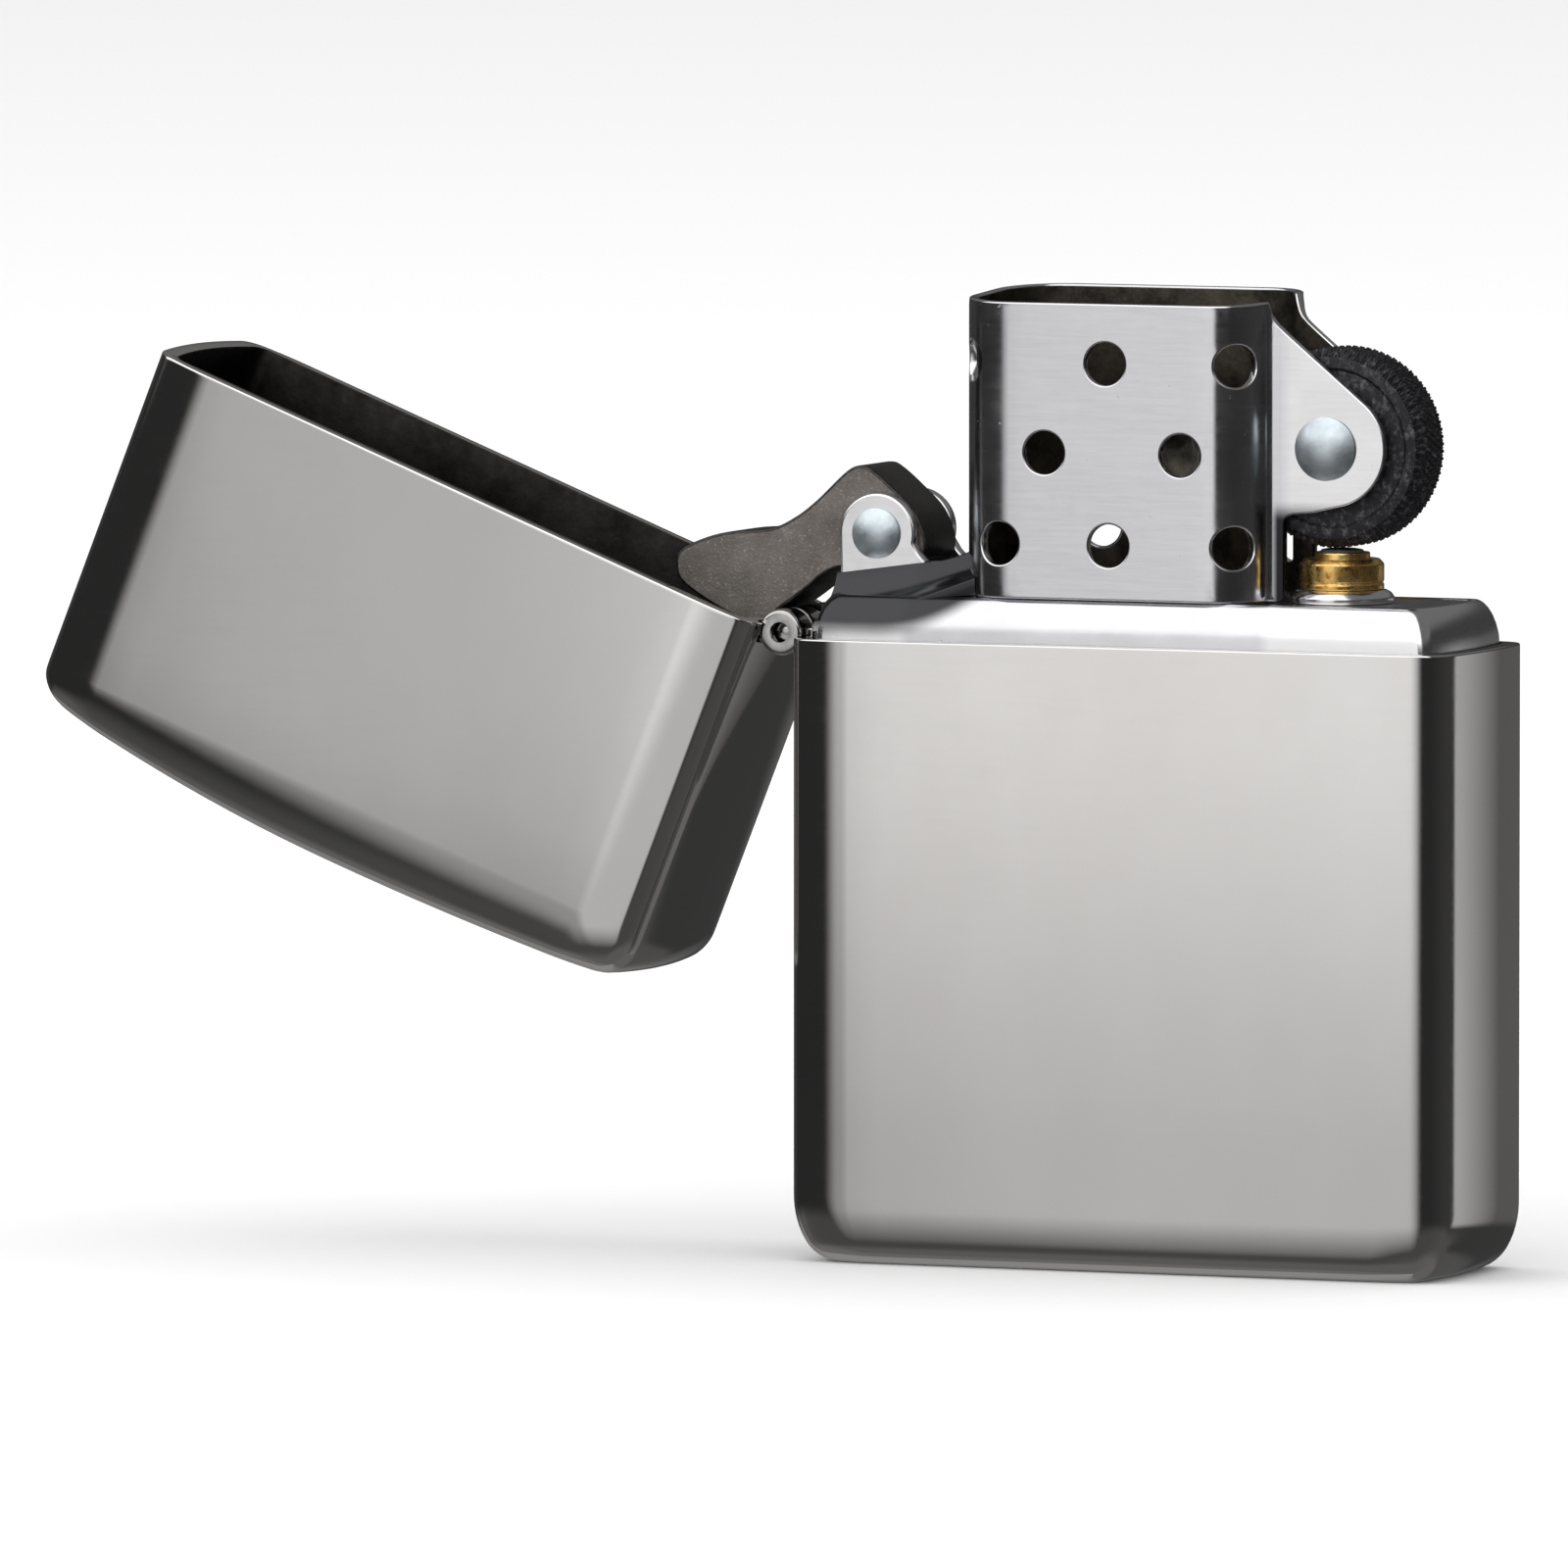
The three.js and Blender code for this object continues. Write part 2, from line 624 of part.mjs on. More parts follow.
function flintScrew() {
  const { headRadius, headBottomZ, headTopZ, shankRadius, shankTopZ } = SCREW;
  const body = turnedZ([
    [0, headBottomZ],
    [headRadius, headBottomZ],
    [headRadius, headTopZ],
    [shankRadius, headTopZ],
    [shankRadius, shankTopZ],
    [0, shankTopZ],
  ], WHEEL.x);
  const half = SCREW_SLOT.width / 2;
  const slot = boxBetween(
    [WHEEL.x - headRadius - 1, -half, headBottomZ - 1],
    [WHEEL.x + headRadius + 1, half, headBottomZ + SCREW_SLOT.depth],
  );
  return cut(body, slot);
}

function feltPad() {
  const inset = INSERT.sheet + FELT.sideGap;
  const block = loft([ring(insertPlan(inset), FELT.bottomZ), ring(insertPlan(inset), FELT.topZ)]);
  return cut(block, rodZ(FELT.holeRadius, 0, FELT.topZ + 1, WHEEL.x));
}

// A lump of cotton: a fat rounded block that fills the given box.
function cottonLump(low, high) {
  const radii = low.map((value, axis) => (high[axis] - value) / 2);
  const centre = low.map((value, axis) => (high[axis] + value) / 2);
  const ball = new THREE.SphereGeometry(1, 14, 8);
  const position = ball.attributes.position;
  const fatten = (value) => Math.sign(value) * Math.abs(value) ** 0.7;
  for (let i = 0; i < position.count; i += 1) {
    const [x, y, z] = [position.getX(i), position.getY(i), position.getZ(i)].map(fatten);
    position.setXYZ(i, centre[0] + radii[0] * x, centre[1] + radii[1] * y, centre[2] + radii[2] * z);
  }
  return ball;
}

// ---------------------------------------------------------------- assembly

const FINISH = {
  blackChrome: { color: 0x8d8b89, roughness: 0.08, metalness: 1 },
  brightSteel: { color: 0xd2d3d8, roughness: 0.25, metalness: 1 },
  rivetSteel: { color: 0xbcc8ce, roughness: 0.2, metalness: 1 },
  darkCast: { color: 0x4d4845, roughness: 0.7, metalness: 0.6 },
  fileSteel: { color: 0x1d1d20, roughness: 0.55, metalness: 0.8 },
  springSteel: { color: 0x9a9a98, roughness: 0.35, metalness: 1 },
  brass: { color: 0xb98d3c, roughness: 0.35, metalness: 1 },
  flint: { color: 0x4a4a4d, roughness: 0.8, metalness: 0.3 },
  wick: { color: 0xd9cfb4, roughness: 0.95, metalness: 0 },
  cotton: { color: 0xeeeae0, roughness: 1, metalness: 0 },
  felt: { color: 0xc9c4b8, roughness: 1, metalness: 0 },
};

function piece(name, geometry, finish) {
  const mesh = new THREE.Mesh(geometry, new THREE.MeshStandardMaterial(FINISH[finish]));
  mesh.name = name;
  return mesh;
}

function buildCase() {
  const group = new THREE.Group();
  group.add(piece('case_bottom', caseBottom(), 'blackChrome'));
  group.add(piece('hinge_leaf_case', hingeLeaf(-1, 0), 'springSteel'));
  group.add(piece('hinge_pin', hingePin(), 'springSteel'));
  return group;
}

// The lid turns about the hinge pin, so its pieces are held in a group that stands on the pin.
function buildLid() {
  const group = new THREE.Group();
  const pieces = [
    piece('case_lid', caseLid(), 'blackChrome'),
    piece('hinge_leaf_lid', hingeLeaf(1, 1), 'springSteel'),
  ];
  for (const mesh of pieces) {
    mesh.position.set(-HINGE.x, 0, -HINGE.z);
    group.add(mesh);
  }
  group.position.set(HINGE.x, 0, HINGE.z);
  group.rotation.y = -LID.openDeg * DEG;
  return group;
}

function buildInsert() {
  const group = new THREE.Group();
  const earOuter = CHIMNEY.earHalfGap + CHIMNEY.sheet;
  const camEarOuter = CAM_EAR.halfGap + CAM_EAR.sheet;
  const bore = TUBE.neckRadius + GAP;
  const washer = ringZ(WASHER.radius, bore, INSERT.topZ + 0.12, WASHER.topZ, WHEEL.x);
  const collar = ringZ(TUBE.collarRadius, bore, WASHER.topZ + GAP, TUBE.collarTopZ, WHEEL.x);
  group.add(piece('insert_tank', insertTank(), 'brightSteel'));
  group.add(piece('chimney', chimney(), 'brightSteel'));
  group.add(piece('striker_wheel', strikerWheel(), 'fileSteel'));
  group.add(piece('wheel_rivet', rivetY(earOuter + GAP, WHEEL.x, WHEEL.z, WHEEL_RIVET), 'rivetSteel'));
  group.add(piece('cam_lever', camLever(), 'darkCast'));
  group.add(piece('cam_rivet', rivetY(camEarOuter + GAP, CAM.x, CAM.z, CAM_RIVET), 'rivetSteel'));
  group.add(piece('cam_spring', camSpring(), 'springSteel'));
  group.add(piece('flint_tube_washer', washer, 'brightSteel'));
  group.add(piece('flint_tube_collar', collar, 'brass'));
  return group;
}

function buildFlintTrain() {
  const group = new THREE.Group();
  const plungerTopZ = FLINT.topZ - FLINT.length - GAP;
  const springZ = [SCREW.shankTopZ + GAP, plungerTopZ - PLUNGER.length - GAP];
  group.add(piece('flint_tube', flintTube(), 'brass'));
  group.add(piece('flint', rodZ(FLINT.radius, FLINT.topZ - FLINT.length, FLINT.topZ, WHEEL.x), 'flint'));
  group.add(piece('flint_plunger', flintPlunger(plungerTopZ), 'brass'));
  group.add(piece('flint_spring', flintSpring(...springZ), 'springSteel'));
  group.add(piece('flint_screw', flintScrew(), 'brass'));
  return group;
}

// The wick, the cotton packed round it and the felt pad that closes the tank.
function buildFuelStore() {
  const group = new THREE.Group();
  const depth = INSERT.halfDepth - INSERT.sheet - 0.15;
  const bottomZ = FELT.topZ + 0.1;
  const topZ = INSERT.topZ - INSERT.sheet - 0.3;
  const columns = [
    { x0: -17.4, x1: WICK.x - WICK.radius - 0.1, count: 3, topZ: CAM_SPRING.footZ - 0.2 },
    { x0: WICK.x + WICK.radius + 0.1, x1: WHEEL.x - TUBE.outerRadius - 0.1, count: 2, topZ },
  ];
  let number = 0;
  for (const { x0, x1, count, topZ: columnTop } of columns) {
    const height = (columnTop - bottomZ) / count;
    for (let k = 0; k < count; k += 1) {
      number += 1;
      const z0 = bottomZ + k * height;
      const lump = cottonLump([x0, -depth, z0], [x1, depth, z0 + height - 0.1]);
      group.add(piece(`packing_${number}`, lump, 'cotton'));
    }
  }
  group.add(piece('wick', rodZ(WICK.radius, WICK.bottomZ, WICK.topZ, WICK.x), 'wick'));
  group.add(piece('felt_pad', feltPad(), 'felt'));
  return group;
}

const lighter = new THREE.Group();
lighter.name = 'lighter';
lighter.add(buildCase(), buildLid(), buildInsert(), buildFlintTrain(), buildFuelStore());

export default lighter;
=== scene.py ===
# Visual model of a flip-top petrol lighter with its lid open.
# Shapes are worked out in millimetres and turned into metres when a mesh is made.
# +X points away from the hinge, -Y is the front, +Z is up, as in the CAD.

import math

import bmesh
import bpy
from mathutils import Matrix, Vector, noise
from mathutils.geometry import delaunay_2d_cdt


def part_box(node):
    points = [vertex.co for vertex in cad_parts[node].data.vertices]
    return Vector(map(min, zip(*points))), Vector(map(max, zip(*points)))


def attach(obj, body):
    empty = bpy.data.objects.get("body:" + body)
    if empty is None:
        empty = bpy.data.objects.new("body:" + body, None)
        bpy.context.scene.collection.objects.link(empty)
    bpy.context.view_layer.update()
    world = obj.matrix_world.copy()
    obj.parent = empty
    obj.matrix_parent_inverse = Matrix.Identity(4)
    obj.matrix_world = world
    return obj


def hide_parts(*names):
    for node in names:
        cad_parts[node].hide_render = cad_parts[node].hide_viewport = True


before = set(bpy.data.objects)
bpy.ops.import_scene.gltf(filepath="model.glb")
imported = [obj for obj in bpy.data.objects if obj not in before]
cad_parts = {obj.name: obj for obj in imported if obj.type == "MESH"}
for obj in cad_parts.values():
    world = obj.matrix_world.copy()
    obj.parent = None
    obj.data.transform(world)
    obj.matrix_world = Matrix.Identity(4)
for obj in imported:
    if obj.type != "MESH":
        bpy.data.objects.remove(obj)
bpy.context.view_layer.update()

# ---------------------------------------------------------------- dimensions, mostly the CAD's own

MM = 0.001
CASE_HALF_LENGTH = 19.15
CASE_HALF_DEPTH = 6.6
CASE_WALL = 0.9
CASE_RIM_Z = 33.5
CASE_FLOOR_Z = 1.1
SIDE_BOW = 0.55
CORNER_RADIUS = 1.45
CROWN_RADIUS = 11.5
CROWN_DEG = 13.0
CLOSED_END_RADIUS = 1.45
CASE_END_CORNER = (2.2, 3.6)
CAVITY_CORNER = 0.85
CAVITY_BOW = 0.5
RIM_LIP = 0.11

LID_GAP = 0.1
LID_TOP_Z = 55.5
LID_ARCH = 1.8
LID_HINGE_ARCH = 0.8
LID_END_CORNER = (2.0, 2.8)
OPEN_DEG = 158.2

HINGE_X = -19.85
HINGE_Z = 33.7
KNUCKLE_RADIUS = 1.25
KNUCKLE_BORE = 0.55
HINGE_HALF = 4.8
KNUCKLES = 5
KNUCKLE_GAP = 0.06
BARREL_CLEAR = 1.4
LEAF_X = (-18.8, -18.4)
LEAF_REACH = 9.0
LEAF_CLEAR = 0.95
LEAF_HALF_WIDTH = 3.6
LEAF_FIT = 0.03
LEAF_CUT_X = -17.5

TANK_HALF_LENGTH = 18.14
TANK_HALF_DEPTH = 5.6
TANK_CORNER = 0.75
TANK_BOW = 0.5
TANK_TOP_Z = 35.85
SHEET = 0.5

CHIMNEY_LEFT_X = -9.9
CHIMNEY_HALF_DEPTH = 5.0
CHIMNEY_FLAT_END_X = 4.7
CHIMNEY_LEFT_RADIUS = 3.4
CHIMNEY_RIGHT_RADIUS = 2.6
CHIMNEY_BEND_RADIUS = 0.7
CHIMNEY_TOP_Z = (51.7, 52.25)
CHIMNEY_RIGHT_X = 8.3
EAR_HALF_GAP = 1.95
EAR_BOTTOM_Z = 40.5
EAR_RADIUS = 3.15
AIR_HOLE_RADIUS = 1.15
AIR_HOLES = [(-9.0, 48.5), (-1.0, 48.5), (6.2, 48.5), (-4.5, 43.7), (3.3, 43.7),
             (-7.1, 38.8), (-0.8, 38.8), (6.1, 38.8)]
# The back's counterpart of one front hole, moved so that light shows through the front one.
REAR_HOLE_MOVED = {(-7.1, 38.8): (-5.0, 39.3)}

WHEEL_X, WHEEL_Z = 10.65, 44.1
WHEEL_RADIUS = 5.35
WHEEL_HALF_WIDTH = 1.75
CAM_X, CAM_Z = -14.9, 39.05
CAM_HALF_WIDTH = 2.2
CAM_EAR_GAP = 2.3
CAM_EAR_SHEET = 0.8
CAM_EAR_RADIUS = 2.15
FAIRING_BASE_Z = 34.0
# 0.3 mm shorter at the hinge end than the CAD's slot.
CAM_SLOT_X = (-16.6, -11.2)
RIVET_HOLE = 0.92
WICK_X = 0.9
WICK_HOLE_RADIUS = 1.6
TUBE_RADIUS = 1.9

CAM_OUTLINE = [
    (-25.7, 38.35), (-26.7, 37.8), (-26.95, 37.1), (-26.6, 36.1), (-24.6, 34.8), (-22.4, 33.85),
    (-21.6, 33.95), (-21.0, 34.7), (-20.1, 35.35), (-19.15, 36.05), (-18.35, 36.7), (-17.2, 37.1),
    (-14.5, 37.05), (-13.0, 37.45), (-12.5, 38.0), (-12.5, 38.9), (-13.1, 40.2), (-14.2, 41.3),
    (-15.4, 42.3), (-16.1, 42.6), (-17.0, 42.3), (-18.8, 40.65), (-20.1, 39.7), (-21.5, 39.1),
    (-24.0, 38.85),
]

# ---------------------------------------------------------------- small geometry helpers

SHARP_DEG = 38.0


def sweep(cx, cy, radius, from_deg, to_deg, steps):
    """Points on an arc, both ends included."""
    angles = [math.radians(from_deg + (to_deg - from_deg) * i / steps) for i in range(steps + 1)]
    return [(cx + radius * math.cos(a), cy + radius * math.sin(a)) for a in angles]


def lerp(a, b, part):
    """The value a part of the way from a to b."""
    return a + (b - a) * part


def between_rows(rows):
    """Quads between closed rows of point numbers that are equally long."""
    count = len(rows[0])
    return [(low[k], low[(k + 1) % count], high[(k + 1) % count], high[k])
            for low, high in zip(rows, rows[1:]) for k in range(count)]


def smooth_closed(points, steps):
    """A closed Catmull-Rom curve through the points."""
    count = len(points)
    curve = []
    for i in range(count):
        p0, p1, p2, p3 = (Vector(points[(i + k) % count]) for k in (-1, 0, 1, 2))
        for step in range(steps):
            t = step / steps
            straight = (2 * p1) + (p2 - p0) * t + (2 * p0 - 5 * p1 + 4 * p2 - p3) * t * t
            curve.append(tuple(0.5 * (straight + (3 * p1 - p0 - 3 * p2 + p3) * t ** 3)))
    return curve


def mesh_from(name, points, faces):
    """A mesh in metres from points in millimetres."""
    mesh = bpy.data.meshes.new(name)
    mesh.from_pydata([(x * MM, y * MM, z * MM) for x, y, z in points], [], faces)
    return mesh


def linked(name, data):
    """A new object in the scene."""
    made = bpy.data.objects.new(name, data)
    bpy.context.scene.collection.objects.link(made)
    return made


def face_outwards(mesh, weld=False):
    """Turns every face outwards, after merging points that meet if asked to."""
    work = bmesh.new()
    work.from_mesh(mesh)
    if weld:
        bmesh.ops.remove_doubles(work, verts=work.verts, dist=1e-7)
    bmesh.ops.recalc_face_normals(work, faces=work.faces)
    work.to_mesh(mesh)
    work.free()


def soften(piece, sharp_deg=SHARP_DEG):
    """Smooth shading, with edges steeper than an angle kept sharp."""
    piece.data.shade_smooth()
    piece.data.set_sharp_from_angle(angle=math.radians(sharp_deg))


def add_piece(name, points, faces, materials, body, slot, node_name, sharp_deg=SHARP_DEG,
              face_materials=None):
    """Makes a mesh piece from points in millimetres and hands it to the frame."""
    mesh = mesh_from(name, points, faces)
    if face_materials:
        mesh.polygons.foreach_set("material_index", face_materials)
    face_outwards(mesh, weld=True)
    piece = linked(name, mesh)
    for material in materials:
        mesh.materials.append(material)
    soften(piece, sharp_deg)
    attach(piece, body)
    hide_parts(node_name)
    return piece


def cut(piece, tools):
    """Cuts closed tool meshes, given as (points, faces) in millimetres, out of a piece."""
    for points, faces in tools:
        mesh = mesh_from("tool", points, faces)
        face_outwards(mesh)
        tool = linked("tool", mesh)
        modifier = piece.modifiers.new("cut", "BOOLEAN")
        modifier.operation = "DIFFERENCE"
        modifier.solver = "EXACT"
        modifier.object = tool
        bpy.context.view_layer.update()
        evaluated = piece.evaluated_get(bpy.context.evaluated_depsgraph_get())
        result = bpy.data.meshes.new_from_object(evaluated)
        piece.modifiers.remove(modifier)
        whole = piece.data
        name = whole.name
        piece.data = result
        bpy.data.meshes.remove(whole)
        result.name = name
        bpy.data.objects.remove(tool)
        bpy.data.meshes.remove(mesh)
    soften(piece)


# ---------------------------------------------------------------- lofts


def bow_tilt(y, half_depth, bow):
    """How far a bowed end face leans from the X axis at y."""
    return math.atan(2 * bow * abs(y) / half_depth ** 2)


def quarter_loop(half_length, half_depth, radius, bow, crown=True):
    """From the middle of the front face, over the crown and the corner, to the middle of the end."""
    crown_deg = CROWN_DEG if crown else 0.0
    crown_angle = math.radians(crown_deg)
    sag = CROWN_RADIUS * (1 - math.cos(crown_angle))
    tilt = 0.0
    for _ in range(6):
        end_y = -half_depth + sag + radius * (math.cos(crown_angle) - math.sin(tilt))
        tilt = bow_tilt(end_y, half_depth, bow)
    end_x = half_length - bow * (end_y / half_depth) ** 2
    centre_x = end_x - radius * math.cos(tilt)
    centre_y = end_y + radius * math.sin(tilt)
    corner_x = centre_x + radius * math.sin(crown_angle)
    crown_x = corner_x - CROWN_RADIUS * math.sin(crown_angle)
    flat_count = 8 if crown else 16
    loop = [(crown_x * (2 * k + 1) / (2 * flat_count + 1), -half_depth) for k in range(flat_count)]
    if crown:
        loop += sweep(crown_x, CROWN_RADIUS - half_depth, CROWN_RADIUS, -90, crown_deg - 90, 8)[:-1]
    loop += sweep(centre_x, centre_y, radius, crown_deg - 90, -math.degrees(tilt), 14)
    end_ys = [end_y * (13 - 2 * k) / 15 for k in range(7)]
    return loop + [(half_length - bow * (y / half_depth) ** 2, y) for y in end_ys]


def plan_loop(half_length, half_depth, radius, bow, crown=True):
    """The whole outline, anticlockwise; point k mirrors point n - 1 - k about the X axis."""
    quarter = quarter_loop(half_length, half_depth, radius, bow, crown)
    front = [(-x, y) for x, y in reversed(quarter)] + quarter
    return front + [(x, -y) for x, y in reversed(front)]


def ring(plan, z, crown=True):
    """A plan loop lifted to a height, which may be a function of x."""
    height = z if callable(z) else (lambda x: z)
    return [(x, y, height(x)) for x, y in plan_loop(*plan, crown)]


def end_grid(points, base, count, cap_rows):
    """Closes a ring with a grid between mirrored points, adding the points inside it. Returns faces."""
    rows = [[base + k] for k in range(count // 2)]
    for k, row in enumerate(rows):
        p, q = Vector(points[base + k]), Vector(points[base + count - 1 - k])
        for step in range(1, cap_rows):
            row.append(len(points))
            points.append(tuple(p.lerp(q, step / cap_rows)))
        row.append(base + count - 1 - k)
    return [(left[step], right[step], right[step + 1], left[step + 1])
            for left, right in zip(rows, rows[1:]) for step in range(cap_rows)]


def loft(rings, cap_rows=0):
    """Skins closed rings, and closes both ends where cap_rows is given. Returns points and faces."""
    count = len(rings[0])
    points = [point for loop in rings for point in loop]
    faces = between_rows([range(level * count, (level + 1) * count) for level in range(len(rings))])
    if cap_rows:
        for base in (0, (len(rings) - 1) * count):
            faces += end_grid(points, base, count, cap_rows)
    return points, faces


def edge_profile():
    """(inset, level) pairs from the flat closed end of a shell up to its straight side."""
    crown_angle = math.radians(CROWN_DEG)
    sag = CROWN_RADIUS * (1 - math.cos(crown_angle))
    pairs = []
    for step in range(11):
        angle = math.radians(lerp(90, CROWN_DEG, step / 10))
        inset = sag + CLOSED_END_RADIUS * (math.cos(crown_angle) - math.cos(angle))
        pairs.append((inset, CLOSED_END_RADIUS * (1 - math.sin(angle))))
    crown_level = CLOSED_END_RADIUS * (1 - math.sin(crown_angle))
    for step in range(1, 8):
        angle = crown_angle * (1 - step / 7)
        level = crown_level + CROWN_RADIUS * (math.sin(crown_angle) - math.sin(angle))
        pairs.append((CROWN_RADIUS * (1 - math.cos(angle)), level))
    return pairs


def end_inset(width, height, level):
    """How far an elliptical end corner stands in at a level above the closed end."""
    if level >= height:
        return 0.0
    rest = (height - level) / height
    return width * (1 - math.sqrt(1 - rest * rest))


def shell_rings(end_corner, height):
    """Rings of the outside of a drawn shell: (plan, level) pairs from the closed end upwards."""
    rings = []
    for inset, level in edge_profile():
        plan = (CASE_HALF_LENGTH - end_inset(*end_corner, level), CASE_HALF_DEPTH - inset,
                max(0.5, CORNER_RADIUS - 0.45 * inset), SIDE_BOW)
        rings.append((plan, level))
    full = (CASE_HALF_LENGTH, CASE_HALF_DEPTH, CORNER_RADIUS, SIDE_BOW)
    top = rings[-1][1]
    return rings + [(full, lerp(top, height, part)) for part in (0.2, 0.4, 0.6, 0.8, 0.995, 1.0)]


def cavity_plan(inset=0.0):
    """The plan of the space inside a shell."""
    return (CASE_HALF_LENGTH - CASE_WALL - inset, CASE_HALF_DEPTH - CASE_WALL - inset,
            CAVITY_CORNER, CAVITY_BOW)


def rim_rings(rim_z, side):
    """A rim with two rounded edges; side is 1 when the shell is below its rim and -1 above."""
    outer, inner = [], []
    for step in range(1, 5):
        angle = math.radians(90 * step / 4)
        z = rim_z - side * RIM_LIP * (1 - math.sin(angle))
        inset = RIM_LIP * (1 - math.cos(angle))
        plan = (CASE_HALF_LENGTH - inset, CASE_HALF_DEPTH - inset, CORNER_RADIUS - inset, SIDE_BOW)
        outer.append((plan, z))
        inner.insert(0, (cavity_plan(-inset * 0.6), z))
    return outer, inner


# ---------------------------------------------------------------- turned and plate pieces

# Flat faces stop this far short of a rounded edge, so that its shading doesn't spread over them.
GUARD = 0.03


def turned(profile, axis, at, steps=96):
    """Turns (radius, along) pairs about a line through at along an axis. Zero radii close at a pole."""
    order = {"X": (1, 2, 0), "Y": (2, 0, 1), "Z": (0, 1, 2)}[axis]
    points, rows = [], []
    for radius, along in profile:
        row = []
        for k in range(1 if radius < 1e-6 else steps):
            angle = 2 * math.pi * k / steps
            local = (radius * math.cos(angle), radius * math.sin(angle), along)
            point = [0.0, 0.0, 0.0]
            for source, target in enumerate(order):
                point[target] = local[source] + at[target]
            row.append(len(points))
            points.append(tuple(point))
        rows.append(row)
    faces = []
    for low, high in zip(rows, rows[1:]):
        for k in range(steps):
            quad = ((low, k), (low, k + 1), (high, k + 1), (high, k))
            corners = [row[number % len(row)] for row, number in quad]
            kept = list(dict.fromkeys(corners))
            if len(kept) > 2:
                faces.append(tuple(kept))
    return points, faces


def rounded(profile, radius, steps=4):
    """Rounds every inner corner of an open profile of (r, along) points."""
    result = [profile[0]]
    for before, here, after in zip(profile, profile[1:], profile[2:]):
        p, q, r = Vector(before), Vector(here), Vector(after)
        reach = min(radius, 0.45 * (p - q).length, 0.45 * (r - q).length)
        start, end = q + (p - q).normalized() * reach, q + (r - q).normalized() * reach
        for step in range(steps + 1):
            t = step / steps
            result.append(tuple(start.lerp(q, t).lerp(q.lerp(end, t), t)))
    return result + [profile[-1]]


def merged(*parts):
    """Joins several (points, faces) lists into one."""
    points, faces = [], []
    for part_points, part_faces in parts:
        base = len(points)
        points += part_points
        faces += [tuple(base + index for index in face) for face in part_faces]
    return points, faces


def inside(point, loop):
    """Whether a point lies in a closed loop."""
    x, y = point
    hit = False
    for (x0, y0), (x1, y1) in zip(loop, loop[1:] + loop[:1]):
        if (y0 > y) != (y1 > y) and x < (x1 - x0) * (y - y0) / (y1 - y0) + x0:
            hit = not hit
    return hit


def moved_in(loop, distance):
    """Moves every corner of a loop to its left by a distance."""
    result = []
    for before, here, after in zip(loop[-1:] + loop[:-1], loop, loop[1:] + loop[:1]):
        a = (Vector(here) - Vector(before)).normalized()
        b = (Vector(after) - Vector(here)).normalized()
        normal = Vector((-a.y - b.y, a.x + b.x))
        normal.normalize()
        reach = distance / max(0.5, normal.dot(Vector((-a.y, a.x))))
        result.append((here[0] + normal.x * reach, here[1] + normal.y * reach))
    return result


def near(point, loops, distance):
    """Whether a point is close to a corner of any loop."""
    u, v = point
    return any((u - x) ** 2 + (v - y) ** 2 < distance ** 2 for loop in loops for x, y in loop)


def in_sheet(point, loops):
    """Whether a point lies in the first loop and in none of the others, which are holes."""
    return inside(point, loops[0]) and not any(inside(point, hole) for hole in loops[1:])


def edge_levels(thickness, edge, steps):
    """(inset, w) pairs from one flat face over the rounded edge to the other."""
    half = thickness / 2
    quarter = [(edge + GUARD, half)]
    for step in range(steps + 1):
        angle = math.radians(90 * step / steps)
        quarter.append((edge * (1 - math.sin(angle)), half - edge * (1 - math.cos(angle))))
    return [(inset, -w) for inset, w in quarter] + [(inset, w) for inset, w in reversed(quarter)]


def flat_triangles(loops, spread):
    """Triangles between the loops, as numbers into the loops' points followed by the spread ones."""
    corners = [point for loop in loops for point in loop]
    edges, start = [], 0
    for loop in loops:
        edges += [(start + k, start + (k + 1) % len(loop)) for k in range(len(loop))]
        start += len(loop)
    flat = [Vector(point) for point in corners + spread]
    found, _, triangles, origins, _, _ = delaunay_2d_cdt(flat, edges, [], 0, 1e-7)
    kept = []
    for triangle in triangles:
        centre = sum((found[index] for index in triangle), Vector((0, 0))) / 3
        if in_sheet(centre, loops):
            kept.append([origins[index][0] for index in triangle])
    return kept


def zoned_plate(outline, holes, thickness, edge, place, grid=()):
    """A sheet with rounded edges. The outline runs anticlockwise and the holes clockwise, in (u, v).

    place(u, v, w) gives the point at w from the middle of the sheet; grid points are added inside.
    Returns points, faces and, for each face, 0 on the edges, 1 where w is negative and 2 where it isn't.
    """
    loops = [outline] + list(holes)
    flat_loops = [moved_in(loop, edge + GUARD) for loop in loops]
    spread = [point for point in grid if in_sheet(point, loops) and not near(point, flat_loops, 0.12)]
    kept = flat_triangles(flat_loops, spread)
    points, faces, levels = [], [], []
    for inset, w in edge_levels(thickness, edge, 3):
        level = []
        for loop in loops:
            level.append([len(points) + k for k in range(len(loop))])
            points += [place(u, v, w) for u, v in moved_in(loop, inset)]
        levels.append(level)
    for low, high in zip(levels, levels[1:]):
        for pair in zip(low, high):
            faces += between_rows(pair)
    for level, w, turn in ((levels[0], -thickness / 2, -1), (levels[-1], thickness / 2, 1)):
        numbers = [index for loop in level for index in loop]
        numbers += [len(points) + k for k in range(len(spread))]
        points += [place(u, v, w) for u, v in spread]
        faces += [tuple(numbers[index] for index in triangle)[::turn] for triangle in kept]
    flat_count = len(kept)
    zones = [0] * (len(faces) - 2 * flat_count) + [1] * flat_count + [2] * flat_count
    return points, faces, zones


def plate(*shape, **options):
    """The points and faces of a sheet."""
    return zoned_plate(*shape, **options)[:2]


def circle(x, y, radius, steps=48):
    """A hole's outline, which runs clockwise."""
    return list(reversed(sweep(x, y, radius, 0, 360, steps)[:-1]))


